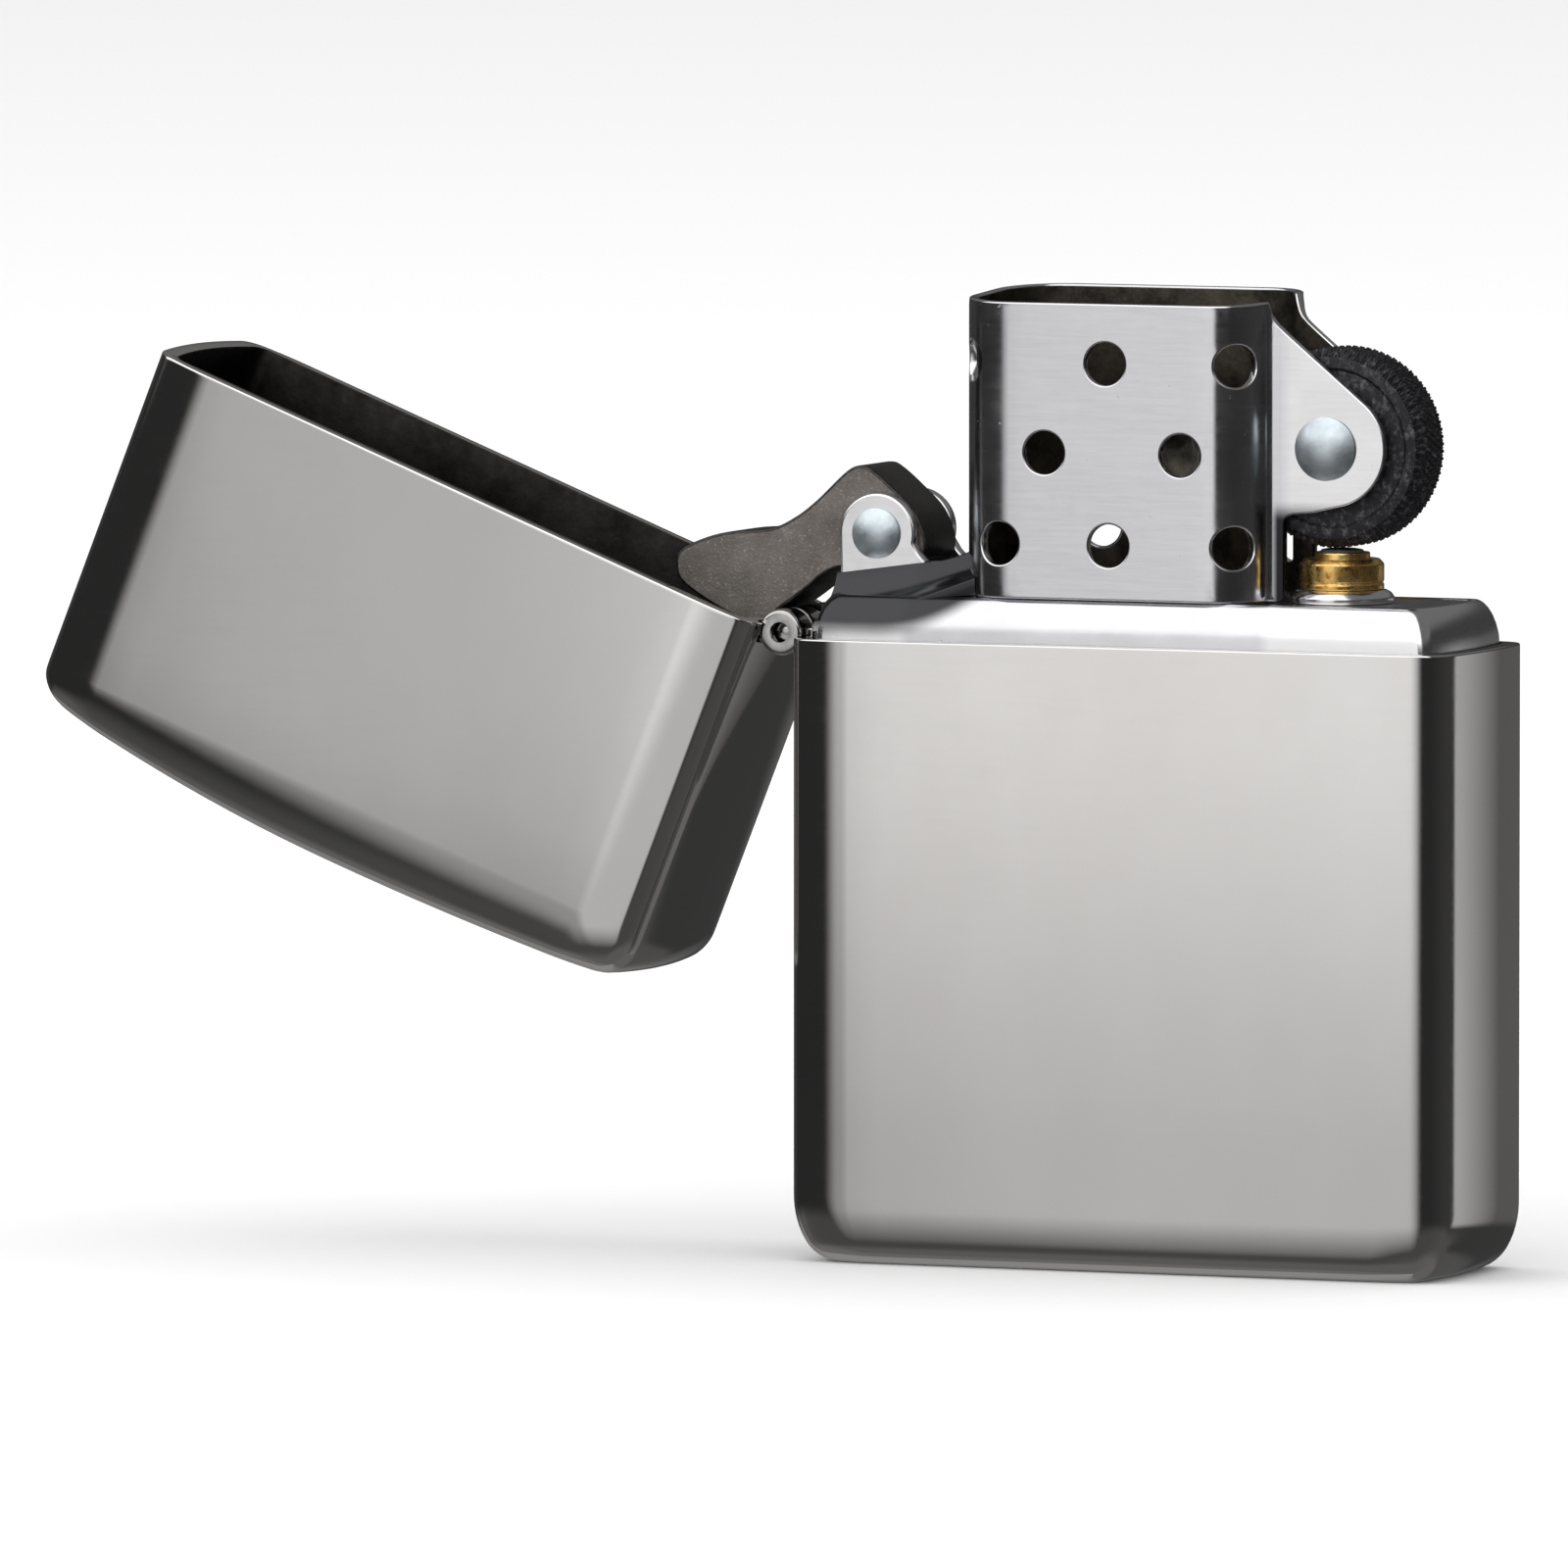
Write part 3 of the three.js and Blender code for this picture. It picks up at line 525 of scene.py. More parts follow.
def upright(y_middle):
    """Places a plate drawn in (x, z) across Y."""
    return lambda u, v, w: (u, y_middle + w, v)


# ---------------------------------------------------------------- materials


def node(tree, kind, values=(), **settings):
    """Adds a shader node; values maps its inputs to numbers or to other nodes' outputs."""
    added = tree.nodes.new(kind)
    for key, value in settings.items():
        setattr(added, key, value)
    for key, value in dict(values).items():
        if isinstance(value, bpy.types.NodeSocket):
            tree.links.new(value, added.inputs[key])
        else:
            added.inputs[key].default_value = value
    return added


class Finish:
    """A principled material whose patterns are laid out in millimetres over the object."""

    def __init__(self, name, **sockets):
        self.material = bpy.data.materials.new(name)
        self.material.use_nodes = True
        self.tree = self.material.node_tree
        self.shader = self.tree.nodes["Principled BSDF"]
        for key, value in sockets.items():
            self.shader.inputs[key.replace("_", " ")].default_value = value
        coordinates = node(self.tree, "ShaderNodeTexCoord").outputs["Object"]
        self.mm = self.stretch(coordinates, (1000, 1000, 1000))
        self.bumps = []

    def stretch(self, vector, scale, turn=(0, 0, 0)):
        """Scales and turns a place, so that a pattern laid out by it runs in streaks."""
        values = {"Vector": vector, "Scale": scale, "Rotation": turn}
        return node(self.tree, "ShaderNodeMapping", values).outputs["Vector"]

    def noise(self, scale, detail=3.0, roughness=0.5, vector=None, distortion=0.0):
        made = node(self.tree, "ShaderNodeTexNoise", {
            "Vector": vector or self.mm, "Scale": scale, "Detail": detail, "Roughness": roughness,
            "Distortion": distortion})
        return made.outputs["Fac"]

    def between(self, fac, low, high, out_low=0.0, out_high=1.0, smooth=False):
        """Maps fac from low..high to out_low..out_high, clamped."""
        made = node(self.tree, "ShaderNodeMapRange", {
            "Value": fac, "From Min": low, "From Max": high, "To Min": out_low, "To Max": out_high},
            interpolation_type="SMOOTHSTEP" if smooth else "LINEAR")
        return made.outputs["Result"]

    def math(self, operation, a, b=0.0):
        return node(self.tree, "ShaderNodeMath", {0: a, 1: b}, operation=operation).outputs[0]

    def blend(self, fac, colour_a, colour_b):
        made = self.tree.nodes.new("ShaderNodeMix")
        made.data_type = "RGBA"
        for index, value in ((0, fac), (6, colour_a), (7, colour_b)):
            if isinstance(value, bpy.types.NodeSocket):
                self.tree.links.new(value, made.inputs[index])
            else:
                made.inputs[index].default_value = value
        return made.outputs[2]

    def plus(self, a, b):
        return self.math("ADD", a, b)

    def times(self, a, b):
        return self.math("MULTIPLY", a, b)

    def window(self, value, low, high, edge):
        """One inside low..high and nothing outside, with soft edges."""
        rise = self.between(value, low - edge, low, smooth=True)
        fall = self.between(value, high, high + edge, 1.0, 0.0, smooth=True)
        return self.times(rise, fall)

    def place(self):
        """The X, Y and Z sockets of the place in millimetres."""
        apart = node(self.tree, "ShaderNodeSeparateXYZ", {"Vector": self.mm})
        return [apart.outputs[axis] for axis in "XYZ"]

    def colour(self, socket):
        self.tree.links.new(socket, self.shader.inputs["Base Color"])

    def rough(self, socket):
        self.tree.links.new(socket, self.shader.inputs["Roughness"])

    def bump(self, height, depth_mm):
        """Stacks one more bump layer of a given depth."""
        values = {"Height": height, "Distance": depth_mm * MM, "Strength": 1.0}
        if self.bumps:
            values["Normal"] = self.bumps[-1]
        self.bumps.append(node(self.tree, "ShaderNodeBump", values).outputs["Normal"])
        for link in list(self.shader.inputs["Normal"].links):
            self.tree.links.remove(link)
        self.tree.links.new(self.bumps[-1], self.shader.inputs["Normal"])


def grey(value, warmth=0.0):
    """A grey that leans towards red by a part of its value."""
    return (value * (1 + warmth), value, value * (1 - warmth), 1.0)


def mottled(name, metallic, tone, span, colours, rough, bump_mm, rough_by=None, bump_by=None, sheen=0.0):
    """A plain finish: one noise runs between two colours, and sets the roughness and the bumps too.

    rough_by and bump_by are the settings of noises of their own, where they have them.
    """
    made = Finish(name, Metallic=metallic)
    spread = made.noise(**tone)
    made.colour(made.blend(made.between(spread, *span), *colours))
    made.rough(made.between(made.noise(**rough_by) if rough_by else spread, 0.3, 0.7, *rough))
    made.bump(made.noise(**bump_by) if bump_by else spread, bump_mm)
    made.shader.inputs["Sheen Weight"].default_value = sheen
    return made.material


def polished_nickel():
    """Dark mirror plating: faint smears and a trace of buffing."""
    made = Finish("polished_dark_plating", Metallic=1.0)
    smear = made.noise(0.06, detail=4, roughness=0.6, vector=made.stretch(made.mm, (1, 1, 0.5)))
    smeared = made.between(smear, 0.35, 0.7)
    made.colour(made.blend(smeared, (0.66, 0.645, 0.635, 1), (0.71, 0.70, 0.69, 1)))
    cloud = made.noise(0.35, detail=5, roughness=0.65)
    buffing = made.noise(3.0, detail=4, vector=made.stretch(made.mm, (0.08, 1, 1)))
    made.rough(made.plus(made.between(cloud, 0.3, 0.75, 0.05, 0.085),
                         made.between(buffing, 0.45, 0.7, 0.0, 0.02)))
    made.bump(made.noise(0.12, detail=1), 0.006)
    return made.material


def bright_sheet(name, shade=None):
    """Satin stainless sheet with rolling grain, rub marks and a few small nicks.

    The ears beyond the chimney's two ends get a paler colour, a painted highlight. shade is a function of the
    finish and the
    X and Z sockets that says where shade is painted on the sheet, nearly black.
    """
    made = Finish(name, Metallic=1.0)
    x, _, z = made.place()
    rub = made.noise(0.3, detail=5, roughness=0.6)
    worn = made.blend(made.between(rub, 0.3, 0.7), (0.60, 0.60, 0.625, 1), (0.69, 0.69, 0.71, 1))
    # Painted highlight: past the chimney's two ends the sheet is given a much paler colour.
    off_centre = made.math("ABSOLUTE", made.plus(x, 2.0))
    colour = made.blend(made.between(off_centre, 10.0, 10.7, 0.0, 0.8), worn, (0.84, 0.84, 0.85, 1))
    # Painted shade: where shade() says, the colour goes nearly black.
    if shade:
        colour = made.blend(shade(made, x, z), colour, (0.026, 0.026, 0.029, 1))
    made.colour(colour)
    grain = made.noise(2.2, detail=5, roughness=0.7, vector=made.stretch(made.mm, (0.15, 0.15, 3.0)))
    nicks = made.between(made.noise(1.6, detail=3, roughness=0.7), 0.70, 0.74)
    base = made.plus(made.between(grain, 0.3, 0.7, 0.15, 0.22),
                     made.between(rub, 0.35, 0.7, -0.02, 0.05))
    made.rough(made.plus(base, made.times(nicks, 0.2)))
    made.bump(grain, 0.0010)
    made.bump(made.noise(0.35, detail=2), 0.012)
    made.bump(nicks, -0.003)
    return made.material


def shade_towards_cam(made, x, z):
    """Painted shade: dark above a curve that climbs from the tank's shoulder by the hinge to the chimney's
    foot.
    """
    past = made.math("MAXIMUM", made.plus(x, 14.0), 0.0)
    edge = made.times(made.math("POWER", past, 2.0), 0.062)
    above = made.math("SUBTRACT", made.math("SUBTRACT", z, 33.5), edge)
    return made.between(above, -0.1, 1.0, 0.0, 0.97, smooth=True)


def shade_below_wheel(made, x, z):
    """Painted shade: dark low down on the sheet beside the flint tube, under the wheel's ear."""
    return made.times(made.between(x, 7.4, 7.9), made.between(z, 40.2, 41.4, 1.0, 0.0, smooth=True))


def gritty_cast():
    """The cam: sandblasted brown-grey steel with paler rubbed specks."""
    made = Finish("gritty_cam_steel", Metallic=0.75)
    grain = made.noise(5.5, detail=6, roughness=0.75)
    patch = made.noise(0.5, detail=4, roughness=0.6)
    base = made.blend(made.between(patch, 0.3, 0.7), (0.15, 0.135, 0.122, 1), (0.24, 0.22, 0.20, 1))
    specks = made.between(made.noise(7.0, detail=2), 0.60, 0.74)
    made.colour(made.blend(made.times(specks, 0.55), base, (0.50, 0.47, 0.44, 1)))
    made.rough(made.between(grain, 0.3, 0.7, 0.42, 0.68))
    made.bump(grain, 0.035)
    made.bump(patch, 0.05)
    return made.material


def wheel_steel():
    """Blued file steel, dusted grey with flint powder."""
    made = Finish("file_steel", Metallic=0.85)
    dust = made.noise(2.6, detail=7, roughness=0.8)
    streaks = made.noise(3.5, detail=4, vector=made.stretch(made.mm, (1.0, 1.0, 0.35), (0, 0.6, 0)))
    powder = made.times(made.between(dust, 0.48, 0.72), made.between(streaks, 0.35, 0.6))
    made.colour(made.blend(powder, (0.030, 0.030, 0.034, 1), (0.27, 0.27, 0.29, 1)))
    made.rough(made.between(dust, 0.3, 0.7, 0.36, 0.6))
    made.bump(dust, 0.03)
    return made.material


def spring_steel():
    """Bright strip with a drawn grain, for the cam's spring, the hinge and the coil."""
    made = Finish("spring_steel_strip", Metallic=1.0)
    tone = made.noise(0.8, detail=5)
    made.colour(made.blend(made.between(tone, 0.3, 0.7), grey(0.30, 0.03), grey(0.50, 0.02)))
    made.rough(made.between(made.noise(3.0, detail=4), 0.3, 0.7, 0.08, 0.17))
    made.bump(made.noise(2.0, detail=4, vector=made.stretch(made.mm, (1, 0.2, 1))), 0.005)
    return made.material


def aged_brass():
    """Brass with orange and brown tarnish in blotches."""
    made = Finish("aged_brass", Metallic=1.0)
    blotch = made.noise(0.9, detail=6, roughness=0.7)
    spots = made.noise(2.8, detail=4, roughness=0.6)
    warm = made.blend(made.between(blotch, 0.35, 0.62), (0.98, 0.74, 0.30, 1), (0.74, 0.40, 0.10, 1))
    made.colour(made.blend(made.between(spots, 0.55, 0.75), warm, (0.12, 0.075, 0.03, 1)))
    made.rough(made.between(spots, 0.3, 0.7, 0.17, 0.42))
    made.bump(made.noise(4.0, detail=4), 0.008)
    return made.material


def wick_cotton():
    """Natural cotton braid, scorched black at the top."""
    made = Finish("scorched_cotton_braid", Metallic=0.0)
    thread = made.noise(6.0, detail=5, vector=made.stretch(made.mm, (1, 1, 0.25)))
    clean = made.blend(made.between(thread, 0.3, 0.7), (0.62, 0.55, 0.42, 1), (0.80, 0.75, 0.63, 1))
    edge = made.plus(made.place()[2], made.times(made.noise(1.2, detail=4), 3.0))
    burnt = made.between(edge, 42.5, 45.6)
    made.colour(made.blend(burnt, clean, (0.018, 0.015, 0.013, 1)))
    made.rough(made.between(thread, 0.3, 0.7, 0.85, 1.0))
    made.bump(thread, 0.08)
    made.shader.inputs["Sheen Weight"].default_value = 0.25
    return made.material


def grey_felt():
    """Matted grey felt, stained by fuel."""
    made = Finish("pressed_felt", Metallic=0.0)
    fibre = made.noise(5.0, detail=7, roughness=0.8, distortion=1.2)
    stain = made.noise(0.35, detail=4)
    base = made.blend(made.between(fibre, 0.3, 0.7), (0.42, 0.40, 0.36, 1), (0.66, 0.63, 0.57, 1))
    made.colour(made.blend(made.between(stain, 0.45, 0.75, 0.0, 0.5), base, (0.24, 0.21, 0.16, 1)))
    made.rough(made.between(fibre, 0.3, 0.7, 0.9, 1.0))
    made.bump(fibre, 0.15)
    made.shader.inputs["Sheen Weight"].default_value = 0.3
    return made.material


PLATING = polished_nickel()
# The unpolished inside of the case and lid, painted nearly black: soot and fuel darken it, and its colour also
# stands in for the shade inside them.
INSIDE = mottled("dull_inner_plating", 1.0, dict(scale=0.22, detail=6, roughness=0.7), (0.35, 0.65),
                 (grey(0.010, 0.08), grey(0.032, 0.06)), (0.38, 0.62), 0.015,
                 rough_by=dict(scale=1.4, detail=4), bump_by=dict(scale=3.0, detail=4))
# The inside of the chimney, blackened by the flame.
SOOTY = mottled("sooted_sheet_steel", 0.9, dict(scale=0.5, detail=6, roughness=0.7), (0.4, 0.7),
                ((0.030, 0.026, 0.022, 1), (0.14, 0.12, 0.095, 1)), (0.55, 0.32), 0.015,
                bump_by=dict(scale=3.0, detail=4))
SATIN = bright_sheet("satin_sheet_steel")
# The sheet with painted shade on the tank's shoulder and on the cam ears' feet.
SHADE_PAINTED_SATIN = bright_sheet("satin_sheet_steel_painted_shade", shade_towards_cam)
# The chimney's sheet, with painted shade low down beside the flint tube.
CHIMNEY = bright_sheet("chimney_sheet_steel", shade_below_wheel)
RIVET = mottled("polished_rivet", 1.0, dict(scale=1.1, detail=4), (0.35, 0.65),
                ((0.56, 0.63, 0.67, 1), (0.68, 0.75, 0.79, 1)), (0.38, 0.48), 0.006,
                rough_by=dict(scale=4.0, detail=3), bump_by=dict(scale=5.0, detail=2))
CAST = gritty_cast()
# The cam's edges, rubbed smooth and black by the lid.
RUBBED = mottled("rubbed_cam_edge", 0.9, dict(scale=4.0, detail=5, roughness=0.7), (0.35, 0.7),
                 (grey(0.030, 0.05), grey(0.085, 0.06)), (0.30, 0.48), 0.02)
FILE = wheel_steel()
SPRING = spring_steel()
BRASS = aged_brass()
FLINT = mottled("flint_alloy", 0.5, dict(scale=6.0, detail=6, roughness=0.8), (0.35, 0.7),
                (grey(0.06, 0.02), grey(0.17, 0.05)), (0.6, 0.85), 0.04)
WICK = wick_cotton()
COTTON = mottled("cotton_wadding", 0.0, dict(scale=1.6, detail=8, roughness=0.75, distortion=0.6),
                 (0.3, 0.7), ((0.72, 0.69, 0.62, 1), (0.90, 0.88, 0.83, 1)), (0.92, 1.0), 0.25, sheen=0.35)
FELT = grey_felt()

# ---------------------------------------------------------------- case, lid and hinge


def box_tool(low, high):
    """A closed box between two corners."""
    points = [(x, y, z) for x in (low[0], high[0]) for y in (low[1], high[1]) for z in (low[2], high[2])]
    faces = [(0, 1, 3, 2), (4, 6, 7, 5), (0, 4, 5, 1), (2, 3, 7, 6), (0, 2, 6, 4), (1, 5, 7, 3)]
    return points, faces


def barrel_tool():
    """Clears the hinge's knuckles."""
    half = HINGE_HALF + 0.1
    profile = [(0, -half), (BARREL_CLEAR, -half), (BARREL_CLEAR, half), (0, half)]
    return turned(profile, "Y", (HINGE_X, 0, HINGE_Z))


def leaf_tool(z0, z1):
    """Clears a hinge leaf between two heights, in from the middle of the shell's wall."""
    half = LEAF_HALF_WIDTH + LEAF_FIT
    return box_tool((LEAF_X[0] - LEAF_FIT, -half, z0), (LEAF_CUT_X, half, z1))


def shell_piece(name, rings, outside_rings, outside_first, body, node_name):
    """Skins a shell whose outside and inside have different finishes."""
    points, faces = loft(rings, cap_rows=8)
    count = len(rings[0])
    walls = (len(rings) - 1) * count
    caps = len(faces) - walls
    finishes = []
    for index in range(walls):
        level = index // count
        outside = level < outside_rings if outside_first else level >= len(rings) - 1 - outside_rings
        finishes.append(0 if outside else 1)
    first, last = (0, 1) if outside_first else (1, 0)
    finishes += [first] * (caps // 2) + [last] * (caps // 2)
    return add_piece(name, points, faces, [PLATING, INSIDE], body, "polished_case", node_name,
                     face_materials=finishes)


def case_shell():
    """The bottom case, from its base up the outside, over the rim and down the inside to the floor."""
    rim_outer, rim_inner = rim_rings(CASE_RIM_Z, 1)
    outer = shell_rings(CASE_END_CORNER, CASE_RIM_Z - RIM_LIP)
    rings = [ring(plan, z) for plan, z in outer + rim_outer]
    outside_count = len(rings)
    rings += [ring(plan, z, crown=False) for plan, z in rim_inner]
    bowl = [(0, 20.0), (0, 8.0), (0, 2.6), (0.08, 2.1), (0.2, 1.75), (0.42, 1.42), (0.9, CASE_FLOOR_Z)]
    rings += [ring(cavity_plan(inset), z, crown=False) for inset, z in bowl]
    shell = shell_piece("case_shell", rings, outside_count, True, "case", "case_bottom")
    cut(shell, [barrel_tool(), leaf_tool(HINGE_Z - LEAF_REACH, CASE_RIM_Z + 1)])


def opened():
    """Turns a piece drawn in the closed lid about the hinge into the open pose."""
    pin = Matrix.Translation((HINGE_X * MM, 0, HINGE_Z * MM))
    return pin @ Matrix.Rotation(math.radians(-OPEN_DEG), 4, "Y") @ pin.inverted()


def lid_shell():
    """The lid, drawn closed from its ceiling down and over its rim, then turned to the open pose."""
    rim_z = CASE_RIM_Z + LID_GAP
    rim_outer, rim_inner = rim_rings(rim_z, -1)

    def arch_drop(x):
        return (LID_HINGE_ARCH if x < 0 else LID_ARCH) * (x / CASE_HALF_LENGTH) ** 2

    def outer_arch(level):
        fade = max(0.0, 1 - level / (LID_END_CORNER[1] + 1))
        return lambda x: LID_TOP_Z - level - fade * arch_drop(x)

    def ceiling(drop):
        return lambda x: LID_TOP_Z - CASE_WALL - drop - arch_drop(x)

    bowl = [(1.6, 0), (0.9, 0.14), (0.4, 0.5), (0.14, 0.95), (0, 1.7), (0, 8.0), (0, 15.0)]
    rings = [ring(cavity_plan(inset), ceiling(drop), crown=False) for inset, drop in bowl]
    rings += [ring(plan, z, crown=False) for plan, z in reversed(rim_inner)]
    inner_count = len(rings)
    rings += [ring(plan, z) for plan, z in reversed(rim_outer)]
    outer = shell_rings(LID_END_CORNER, LID_TOP_Z - rim_z - RIM_LIP)
    rings += [ring(plan, outer_arch(level)) for plan, level in reversed(outer)]
    shell = shell_piece("lid_shell", rings, len(rings) - inner_count, False, "lid", "case_lid")
    cut(shell, [barrel_tool(), leaf_tool(rim_z - 1, HINGE_Z + LEAF_REACH + 0.1)])
    shell.data.transform(opened())


def rounded_rectangle(low, high, radius):
    """Anticlockwise outline between two corners."""
    (x0, y0), (x1, y1) = low, high
    corners = [(x1 - radius, y0 + radius, -90), (x1 - radius, y1 - radius, 0),
               (x0 + radius, y1 - radius, 90), (x0 + radius, y0 + radius, 180)]
    return [point for x, y, start in corners for point in sweep(x, y, radius, start, start + 90, 6)]


def weld_spot(y, z):
    """A shallow dimple left by spot welding, on a hinge leaf."""
    profile = [(0.75, 0), (0.62, 0.05), (0.45, 0.06), (0.2, 0.03), (0, 0.02)]
    return turned(profile, "X", (LEAF_X[1], y, z), 32)


def knuckle(y0, y1):
    """One knuckle of the hinge, a tube with rounded ends."""
    profile = [(KNUCKLE_BORE, y0 + 0.01), (KNUCKLE_BORE, y1), (KNUCKLE_RADIUS, y1), (KNUCKLE_RADIUS, y0),
               (KNUCKLE_BORE, y0), (KNUCKLE_BORE, y0 + 0.01)]
    return turned(rounded(profile, 0.31, 8), "Y", (HINGE_X, 0, HINGE_Z), 64)


def hinge_leaf(side, parity, name, body, node_name):
    """One leaf with its knuckles: side is -1 in the case and 1 in the lid."""
    thickness = LEAF_X[1] - LEAF_X[0]

    def place(u, v, w):
        return ((LEAF_X[0] + LEAF_X[1]) / 2 + w, u, v)

    def tongue(low, high, radius, edge):
        return plate(rounded_rectangle(low, high, radius), [], thickness, edge, place)

    near_z = HINGE_Z + side * LEAF_CLEAR
    low_z, high_z = sorted((near_z, HINGE_Z + side * (LEAF_REACH - 0.1)))
    parts = [tongue((-LEAF_HALF_WIDTH, low_z), (LEAF_HALF_WIDTH, high_z), 0.7, 0.07)]
    parts += [weld_spot(y, HINGE_Z + side * z) for y in (-2.0, 2.0) for z in (3.6, 6.6)]
    pitch = 2 * HINGE_HALF / KNUCKLES
    tab_low, tab_high = sorted((HINGE_Z - side * 0.2, near_z + side * 0.5))
    for k in range(parity, KNUCKLES, 2):
        y0 = -HINGE_HALF + k * pitch + KNUCKLE_GAP / 2
        y1 = y0 + pitch - KNUCKLE_GAP
        parts.append(knuckle(y0, y1))
        left, right = max(y0, -LEAF_HALF_WIDTH), min(y1, LEAF_HALF_WIDTH)
        parts.append(tongue((left, tab_low), (right, tab_high), 0.1, 0.06))
    leaf = add_piece(name, *merged(*parts), [SPRING], body, "spring_steel", node_name)
    if side > 0:
        leaf.data.transform(opened())


def hinge_rod():
    """The hinge's pin, which ends inside the outer knuckles."""
    half = HINGE_HALF - 0.7
    profile = [(0, -half), (0.3, -half + 0.03), (0.47, -half + 0.12), (0.5, -half + 0.3), (0.5, 0)]
    profile += [(radius, -along) for radius, along in reversed(profile[:-1])]
    shape = turned(profile, "Y", (HINGE_X, 0, HINGE_Z), 48)
    add_piece("hinge_rod", *shape, [SPRING], "case", "spring_steel", "hinge_pin")


# ---------------------------------------------------------------- tank with its cam ears


def tank_plan(inset):
    """The insert's plan, moved in from its outside."""
    return (TANK_HALF_LENGTH - inset, TANK_HALF_DEPTH - inset, TANK_CORNER, TANK_BOW)


def tank_body():
    """The insert's can: its open lower edge, walls and rounded shoulder, and back down the inside."""
    outside = [(0.32, 1.95), (0.25, 1.9), (0.2, 1.93), (0.16, 2.1), (0.0, 2.7), (0, 12.0), (0, 24.0),
               (0, 33.2), (0.05, 34.0), (0.16, 34.55), (0.32, 35.05), (0.5, 35.42), (0.7, 35.68), (0.86, 35.81),
               (0.94, 35.85), (1.0, 35.84), (1.04, 35.78)]
    within = [(1.05, 35.4), (0.9, 35.2), (0.5, 33.2), (0.5, 12.0), (0.5, 2.2), (0.32, 1.95)]
    rings = [ring(tank_plan(inset), z, crown=False) for inset, z in outside + within]
    points, faces = loft(rings)
    # The tank's shoulder by the cam carries painted shade.
    add_piece("tank_body", points, faces, [SHADE_PAINTED_SATIN], "insert", "bright_steel", "insert_tank")


def tank_top():
    """The plate on top of the insert, with holes for the cam, the wick and the flint tube."""
    middle_z, thickness = 35.57, 0.4
    outline = plan_loop(*tank_plan(1.03), crown=False)
    slot = rounded_rectangle((CAM_SLOT_X[0], -CAM_EAR_GAP), (CAM_SLOT_X[1], CAM_EAR_GAP), 0.25)
    holes = [slot[::-1], circle(WICK_X, 0, WICK_HOLE_RADIUS), circle(WHEEL_X, 0, TUBE_RADIUS + 0.02)]
    shape = plate(outline, holes, thickness, 0.05, lambda u, v, w: (u, v, middle_z + w))
    add_piece("tank_top", *shape, [SATIN], "insert", "bright_steel", "insert_tank")


def along(stations, x):
    """Straight-line interpolation of (x, value) stations."""
    for (x0, a), (x1, b) in zip(stations, stations[1:]):
        if x <= x1:
            return lerp(a, b, max(0.0, (x - x0) / (x1 - x0)))
    return stations[-1][1]


def fairing_section(top, foot_y, foot_z):
    """(y, z) points across a cam ear's foot, from its inner side over the crest and down the slope."""
    outer = CAM_EAR_GAP + CAM_EAR_SHEET
    inner = CAM_EAR_GAP + 0.02
    section = [(inner, FAIRING_BASE_Z), (inner, top - 0.06), (CAM_EAR_GAP + 0.08, top),
               (outer - 0.1, top), (outer, top - 0.08)]
    bend_y, bend_z = outer + 0.22, lerp(foot_z, top, 0.3)
    for j in range(1, 11):
        t = j / 10
        y = (1 - t) ** 2 * outer + 2 * t * (1 - t) * bend_y + t * t * foot_y
        z = (1 - t) ** 2 * (top - 0.08) + 2 * t * (1 - t) * bend_z + t * t * foot_z
        section.append((y, z))
    return section + [(foot_y + 0.03, foot_z - 0.1), (foot_y, foot_z - 0.5), (foot_y - 0.6, 33.6)]


def cam_fairing(side):
    """The swept foot of one cam ear: a concave slope from the ear down to the tank's shoulder."""
    crest = [(-17.2, 36.95), (-12.4, 37.6), (-11.2, 37.68), (-10.2, 37.95), (-9.4, 38.25), (-8.6, 38.4)]
    edge_y = [(-17.2, 5.45), (-14.0, 5.2), (-11.0, 4.75), (-8.6, 4.35)]
    edge_z = [(-17.2, 34.35), (-15.0, 34.75), (-13.0, 35.3), (-11.0, 36.0), (-8.6, 36.9)]
    points, rows = [], []
    for i in range(25):
        x = lerp(-17.15, -8.7, i / 24)
        top = along(crest, x)
        section = fairing_section(top, along(edge_y, x), along(edge_z, x))
        lean = 0.45 * max(0.0, 1 - i / 6)
        rows.append([len(points) + k for k in range(len(section))])
        points += [(x - lean * (top - z) / (top - FAIRING_BASE_Z), side * y, z) for y, z in section]
    return points, [tuple(rows[0]), tuple(reversed(rows[-1]))] + between_rows(rows)


def cam_ear(side, name):
    """One of the two ears that hold the cam's rivet, with its foot; side is -1 at the front."""
    dome = sweep(CAM_X, CAM_Z, CAM_EAR_RADIUS, -14, 180, 36)
    right = [(-11.9, 36.6), (-12.1, 37.6), (-12.45, 37.95)]
    outline = [(-17.0, 36.6)] + right + dome
    outline[-1] = (CAM_X - CAM_EAR_RADIUS, CAM_Z)
    y = side * (CAM_EAR_GAP + CAM_EAR_SHEET / 2)
    ear = plate(outline, [circle(CAM_X, CAM_Z, RIVET_HOLE)], CAM_EAR_SHEET, 0.14, upright(y))
    fairing = cam_fairing(side)
    # The ear's foot carries painted shade.
    materials = [0] * len(ear[1]) + [1] * len(fairing[1])
    add_piece(name, *merged(ear, fairing), [SATIN, SHADE_PAINTED_SATIN], "insert", "bright_steel", "insert_tank",
              face_materials=materials)


# ---------------------------------------------------------------- chimney


